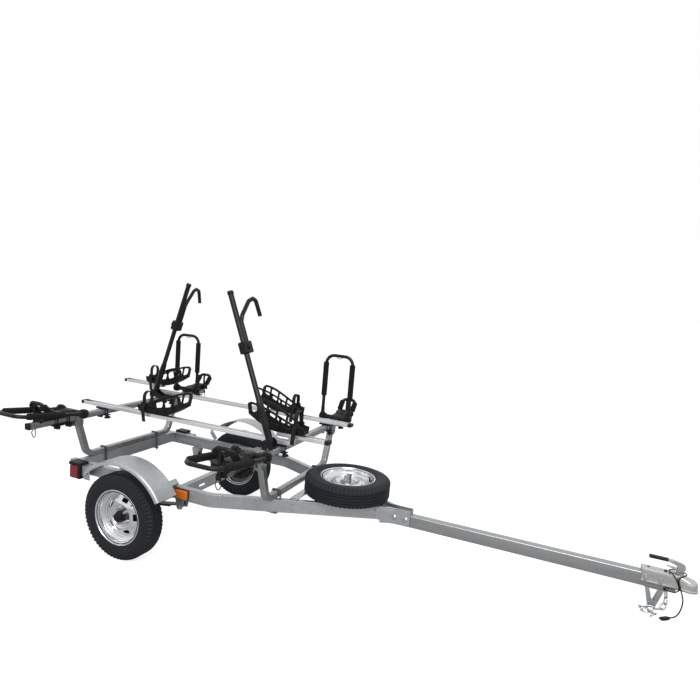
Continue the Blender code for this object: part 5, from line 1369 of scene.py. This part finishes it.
for word, (x, y, lean) in ARMS.items():
    way = -1 if lean < 0 else 1
    piece("forked_foot_" + word, forked_foot(way).moved(shift(x, y)), PLASTIC,
          stands_for=["arm_base_" + word], bevel=0.0015)
    arm_place = PARKED @ shift(x, y, ARM_Z) @ turn(lean, "Y")
    hook_place = arm_place @ shift(z=HOOK_HEIGHT)
    piece("mast_tube_" + word, arm_mast(), POWDER_COAT, "arm_" + word, ["mast_" + word],
          place=arm_place, bevel=0.0005)
    piece("frame_hook_" + word, frame_hook(-way), POWDER_COAT, "hook_" + word,
          ["hook_" + word], place=hook_place)
    piece("hook_clamp_" + word, hook_clamp(-way), PLASTIC, "hook_" + word, place=hook_place, bevel=0.0010)

# %% [markdown]
# ## Kayak cradles
# A cradle is a moulded saddle on the load bar with a toothed drum at its hinge, a short padded
# arm on its outer end, and a tall hoop that folds outward.  Foam sleeves with soft ribs cover the
# hoop's legs.

# %% Cradle bases
HUB_Z, HOOP_HALF, HOOP_TALL, HOOP_TUBE = 0.780, 0.100, 0.4425, 0.0115
PAD_RADIUS, SHORT_HALF, SHORT_FOOT = 0.0200, 0.050, 0.180
SHORT_OUT, SHORT_UP = 0.0765, 0.092
CRADLES = {"front_left": (FRONT_BAR_X, 1, 0.535, 0.0), "rear_left": (REAR_BAR_X, 1, 0.610, 0.0),
           "front_right": (FRONT_BAR_X, -1, 0.585, 83.0), "rear_right": (REAR_BAR_X, -1, 0.515, 83.0)}
SHORT_LEAN = Vector((0.0, SHORT_OUT, SHORT_UP)).normalized()


def toothed_drum(shape, x0, x1, radius, teeth):
    """A drum along X whose rim is cut into teeth."""
    rings = []
    for x, grow in ((x0, 0.90), (x0 + 0.002, 1.0), (x1 - 0.002, 1.0), (x1, 0.90)):
        rim = enumerate(circle(radius * grow, 4 * teeth))
        rings.append([Vector((x, *(Vector(spot) * (1.0 if step % 4 < 2 else 0.93)))) for step, spot in rim])
    return shape.loft(rings)


def cradle_saddle():
    """The moulded base for the left side: X along the trailer, Y outward, hinge at the origin."""
    floor = BAR_TOP + 0.0003 - HUB_Z
    made = Shape()
    stations = [(-0.022, 0.024, -0.012), (-0.016, 0.030, 0.006), (0.004, 0.034, 0.016), (0.030, 0.036, 0.018),
                (0.090, 0.036, 0.018), (0.120, 0.036, 0.021), (0.150, 0.037, 0.025), (0.185, 0.037, 0.024),
                (0.215, 0.036, 0.021), (0.232, 0.034, 0.004), (0.244, 0.030, floor + 0.004)]
    rings = []
    for y, half, top in stations:
        rings.append([(-half, y, floor), (-half, y, top - 0.009), (-half + 0.004, y, top - 0.003),
                      (-half + 0.012, y, top), (half - 0.012, y, top), (half - 0.004, y, top - 0.003),
                      (half, y, top - 0.009), (half, y, floor)])
    made.loft(rings)
    for index in range(5):
        y = 0.050 + 0.020 * index
        made.box(-0.030, 0.030, y - 0.003, y + 0.003, 0.014, 0.0205)
    made.turned([(0.0, 0.034), (0.014, 0.033), (0.021, 0.029), (0.026, 0.020), (0.026, 0.0), (0.0, 0.0)], 32,
                shift(0.0, 0.150, 0.0))
    inner = HOOP_HALF - 0.0155
    made.rod((-inner, 0, 0), (inner, 0, 0), 0.0165)
    toothed_drum(made, -inner, -inner + 0.014, 0.0235, 20)
    toothed_drum(made, inner - 0.014, inner, 0.0235, 20)
    made.rod((-HOOP_HALF - 0.018, 0, 0), (HOOP_HALF + 0.018, 0, 0), 0.008)
    for side in (-1, 1):
        made.rod((side * (HOOP_HALF + 0.0150), 0, 0), (side * (HOOP_HALF + 0.0235), 0, 0), 0.013, sides=6)
    under = -0.0603
    made.box(-0.040, 0.040, 0.020, 0.160, under - 0.006, under)
    made.box(-0.036, -TUBE / 2 - 0.0003, 0.030, 0.150, under - 0.003, 0.0)
    for y in (0.045, 0.130):
        made.rod((0.029, y, under - 0.010), (0.029, y, 0.0), 0.004)
        made.add(KNOB, shift(0.029, y, under - 0.010) @ turn(17, "Z"))
    made.box(-SHORT_HALF - 0.014, SHORT_HALF + 0.014, SHORT_FOOT - 0.016, SHORT_FOOT + 0.016, -0.012, 0.014)
    near, far = SHORT_HALF + 0.012, SHORT_HALF + 0.0175
    for side in (-1, 1):
        made.rod((side * near, SHORT_FOOT, 0.002), (side * far, SHORT_FOOT, 0.002), 0.009, sides=6)
    return made


def short_arm():
    points = [(-SHORT_HALF, SHORT_FOOT, 0.0), (-SHORT_HALF, SHORT_FOOT + SHORT_OUT, SHORT_UP),
              (SHORT_HALF, SHORT_FOOT + SHORT_OUT, SHORT_UP), (SHORT_HALF, SHORT_FOOT, 0.0)]
    return Shape().tube(rounded(points, 0.030, 10), HOOP_TUBE, 20)


def strap_loop():
    """The loose end of the lashing: webbing from the short arm, a buckle and a loop."""
    out, low, at = SHORT_FOOT + SHORT_OUT, -0.040, -0.018
    made = Shape().box(at - 0.009, at + 0.009, out - 0.0012, out + 0.0012, low - 0.004, SHORT_UP)
    made.stack([(low - 0.030, 0.015, 0.005), (low, 0.015, 0.005)], 0.002, centre=(at, out, 0.0))
    hang = [(at + 0.008, out, low - 0.026), (at + 0.018, out, low - 0.055), (at, out, low - 0.092),
            (at - 0.018, out, low - 0.055), (at - 0.008, out, low - 0.026)]
    return made.tube(rounded(hang, 0.010, 6), 0.0026, 10)


def ribbed_pad(shape, start, end, face):
    """A foam sleeve between two points, with soft ribs on the side that `face` points to."""
    start, end = Vector(start), Vector(end)
    along = (end - start).normalized()
    face = (Vector(face) - along * Vector(face).dot(along)).normalized()
    side = along.cross(face)
    pitch, rib_length, rib_depth = 0.0032, 0.019, 0.0048
    steps = int((end - start).length / pitch)
    rings = []
    for index in range(steps + 1):
        centre = start.lerp(end, index / steps)
        taper = min(1.0, 0.90 + 0.10 * min(index, steps - index))
        groove = 0.5 + 0.5 * math.cos(math.tau * index * pitch / rib_length)
        ring = []
        for ahead, across in circle(1.0, 24):
            radius = (PAD_RADIUS - rib_depth * groove * max(0.0, ahead) ** 0.7) * taper
            ring.append(centre + (face * ahead + side * across) * radius)
        rings.append(ring)
    return shape.loft(rings)


def hoop_tube():
    """The bent tube, a toothed drum round each foot, and a collar above it."""
    points = [(-HOOP_HALF, 0, 0.0), (-HOOP_HALF, 0, HOOP_TALL), (HOOP_HALF, 0, HOOP_TALL),
              (HOOP_HALF, 0, 0.0)]
    made = Shape().tube(rounded(points, 0.060, 14), HOOP_TUBE, 20)
    for x in (-HOOP_HALF, HOOP_HALF):
        toothed_drum(made, x - 0.0143, x + 0.0143, 0.0296, 28)
        made.tube([(x, 0, z) for z in (0.020, 0.060, 0.075)], [0.0140, 0.0130, 0.0100], 24)
    return made


def strap_clip():
    """A wire eye under the middle of the hoop, for the lashing."""
    eye = [(-0.022, 0, HOOP_TALL - 0.004), (-0.014, 0, HOOP_TALL - 0.019), (0.014, 0, HOOP_TALL - 0.019),
           (0.022, 0, HOOP_TALL - 0.004)]
    made = Shape().tube(rounded(eye, 0.005, 5), 0.0022, 10)
    for x in (-0.016, 0.016):
        made.rod((x - 0.003, 0, HOOP_TALL), (x + 0.003, 0, HOOP_TALL), 0.0098)
    return made


for name, (x, side, hub_y, fold) in CRADLES.items():
    hub = PARKED @ shift(x, side * hub_y, HUB_Z)
    place = hub @ Matrix.Diagonal((1, side, 1, 1))
    hoop_place = hub @ turn(-side * fold, "X")
    hoop = "hoop_" + name
    piece("saddle_" + name, cradle_saddle(), PLASTIC, stands_for=["cradle_base_" + name],
          place=place, bevel=0.0009)
    piece("short_arm_" + name, short_arm(), POWDER_COAT, place=place, bevel=0)
    piece("strap_loop_" + name, strap_loop(), LEAD_JACKET, slot="black_plastic", place=place, bevel=0.0004)
    piece("hoop_tube_" + name, hoop_tube(), POWDER_COAT, hoop, [hoop], place=hoop_place, bevel=0)
    piece("strap_clip_" + name, strap_clip(), PLASTIC, hoop, place=hoop_place, bevel=0)
    pads, sleeves = Shape(), Shape()
    for end in (-1, 1):
        foot = Vector((end * SHORT_HALF, SHORT_FOOT, 0.0))
        ribbed_pad(pads, foot + SHORT_LEAN * 0.030, foot + SHORT_LEAN * 0.100, (0, -1, 0.6))
        ribbed_pad(sleeves, (end * HOOP_HALF, 0, 0.150), (end * HOOP_HALF, 0, 0.390), (0, side, 0))
    piece("short_pads_" + name, pads, FOAM, place=place, bevel=0, angle=60)
    piece("foam_sleeves_" + name, sleeves, FOAM, hoop, place=hoop_place, bevel=0, angle=60)

# %% [markdown]
# ## The running gear
# The axle beam and the leaf springs keep their CAD meshes; they only need their finish.

# %% Finish the CAD nodes that stay
KEPT = {"axle_beam": GALVANISED, "leaf_spring_left": DARK_STEEL, "leaf_spring_right": DARK_STEEL}
for name, finish in KEPT.items():
    for material_slot in NODES[name].material_slots:
        material_slot.material = finish.material

# %% [markdown]
# ## Light and floor
# The picture is a cut-out on white.  The world is white and gives soft light from everywhere, one
# large lamp from the upper right gives the tubes a lit and a shaded side, and the floor looks white
# to the camera but still takes the trailer's shadow.

# %% World
world = bpy.data.worlds.new("white_studio")
bpy.context.scene.world = world
world.use_nodes = True
tree = world.node_tree
background = tree.nodes["Background"]
background.inputs["Color"].default_value = (1.0, 1.0, 1.0, 1.0)
seen_by = tree.nodes.new("ShaderNodeLightPath")
seen = seen_by.outputs["Is Camera Ray"]
for ray in ("Is Glossy Ray", "Is Transmission Ray"):
    either = tree.nodes.new("ShaderNodeMath")
    either.operation = "MAXIMUM"
    tree.links.new(seen, either.inputs[0])
    tree.links.new(seen_by.outputs[ray], either.inputs[1])
    seen = either.outputs[0]
WORLD_LIGHT = 0.55
spread = tree.nodes.new("ShaderNodeMath")
spread.operation = "MULTIPLY_ADD"
spread.inputs[1].default_value = 1.0 - WORLD_LIGHT
spread.inputs[2].default_value = WORLD_LIGHT
tree.links.new(seen, spread.inputs[0])
tree.links.new(spread.outputs[0], background.inputs["Strength"])

# %% Lamps
key_data = bpy.data.lights.new("soft_key", "AREA")
key_data.shape = "RECTANGLE"
key_data.size, key_data.size_y = 5.0, 3.5
key_data.energy = 330.0
key = add_object("soft_key", key_data)
key.location = (AXLE_X + 3.2, -4.6, 4.8)
key.rotation_euler = (Vector((AXLE_X + 0.8, 0.0, 0.4)) - key.location).to_track_quat("-Z", "Y").to_euler()

# %% Floor
floor_shape = Shape().face([(-80, -80, 0), (80, -80, 0), (80, 80, 0), (-80, 80, 0)])
floor_data = bpy.data.meshes.new("studio_floor")
floor_shape.mesh.to_mesh(floor_data)
floor_shape.mesh.free()
floor = add_object("studio_floor", floor_data)
FLOOR_PAINT = Finish("pale_floor", (0.50, 0.50, 0.50), 0.9, Emission_Color=(1.0, 1.0, 1.0, 1.0))
FLOOR_PAINT.set("Specular IOR Level", 0.0)
FLOOR_PAINT.feed("Emission Color", FLOOR_PAINT.blend(
    FLOOR_PAINT.node("ShaderNodeLightPath", output="Is Camera Ray"), (0.05, 0.05, 0.05), (0.80, 0.80, 0.80)))
FLOOR_PAINT.set("Emission Strength", 1.0)
floor_data.materials.append(FLOOR_PAINT.material)
bpy.context.scene.view_settings.view_transform = "Standard"
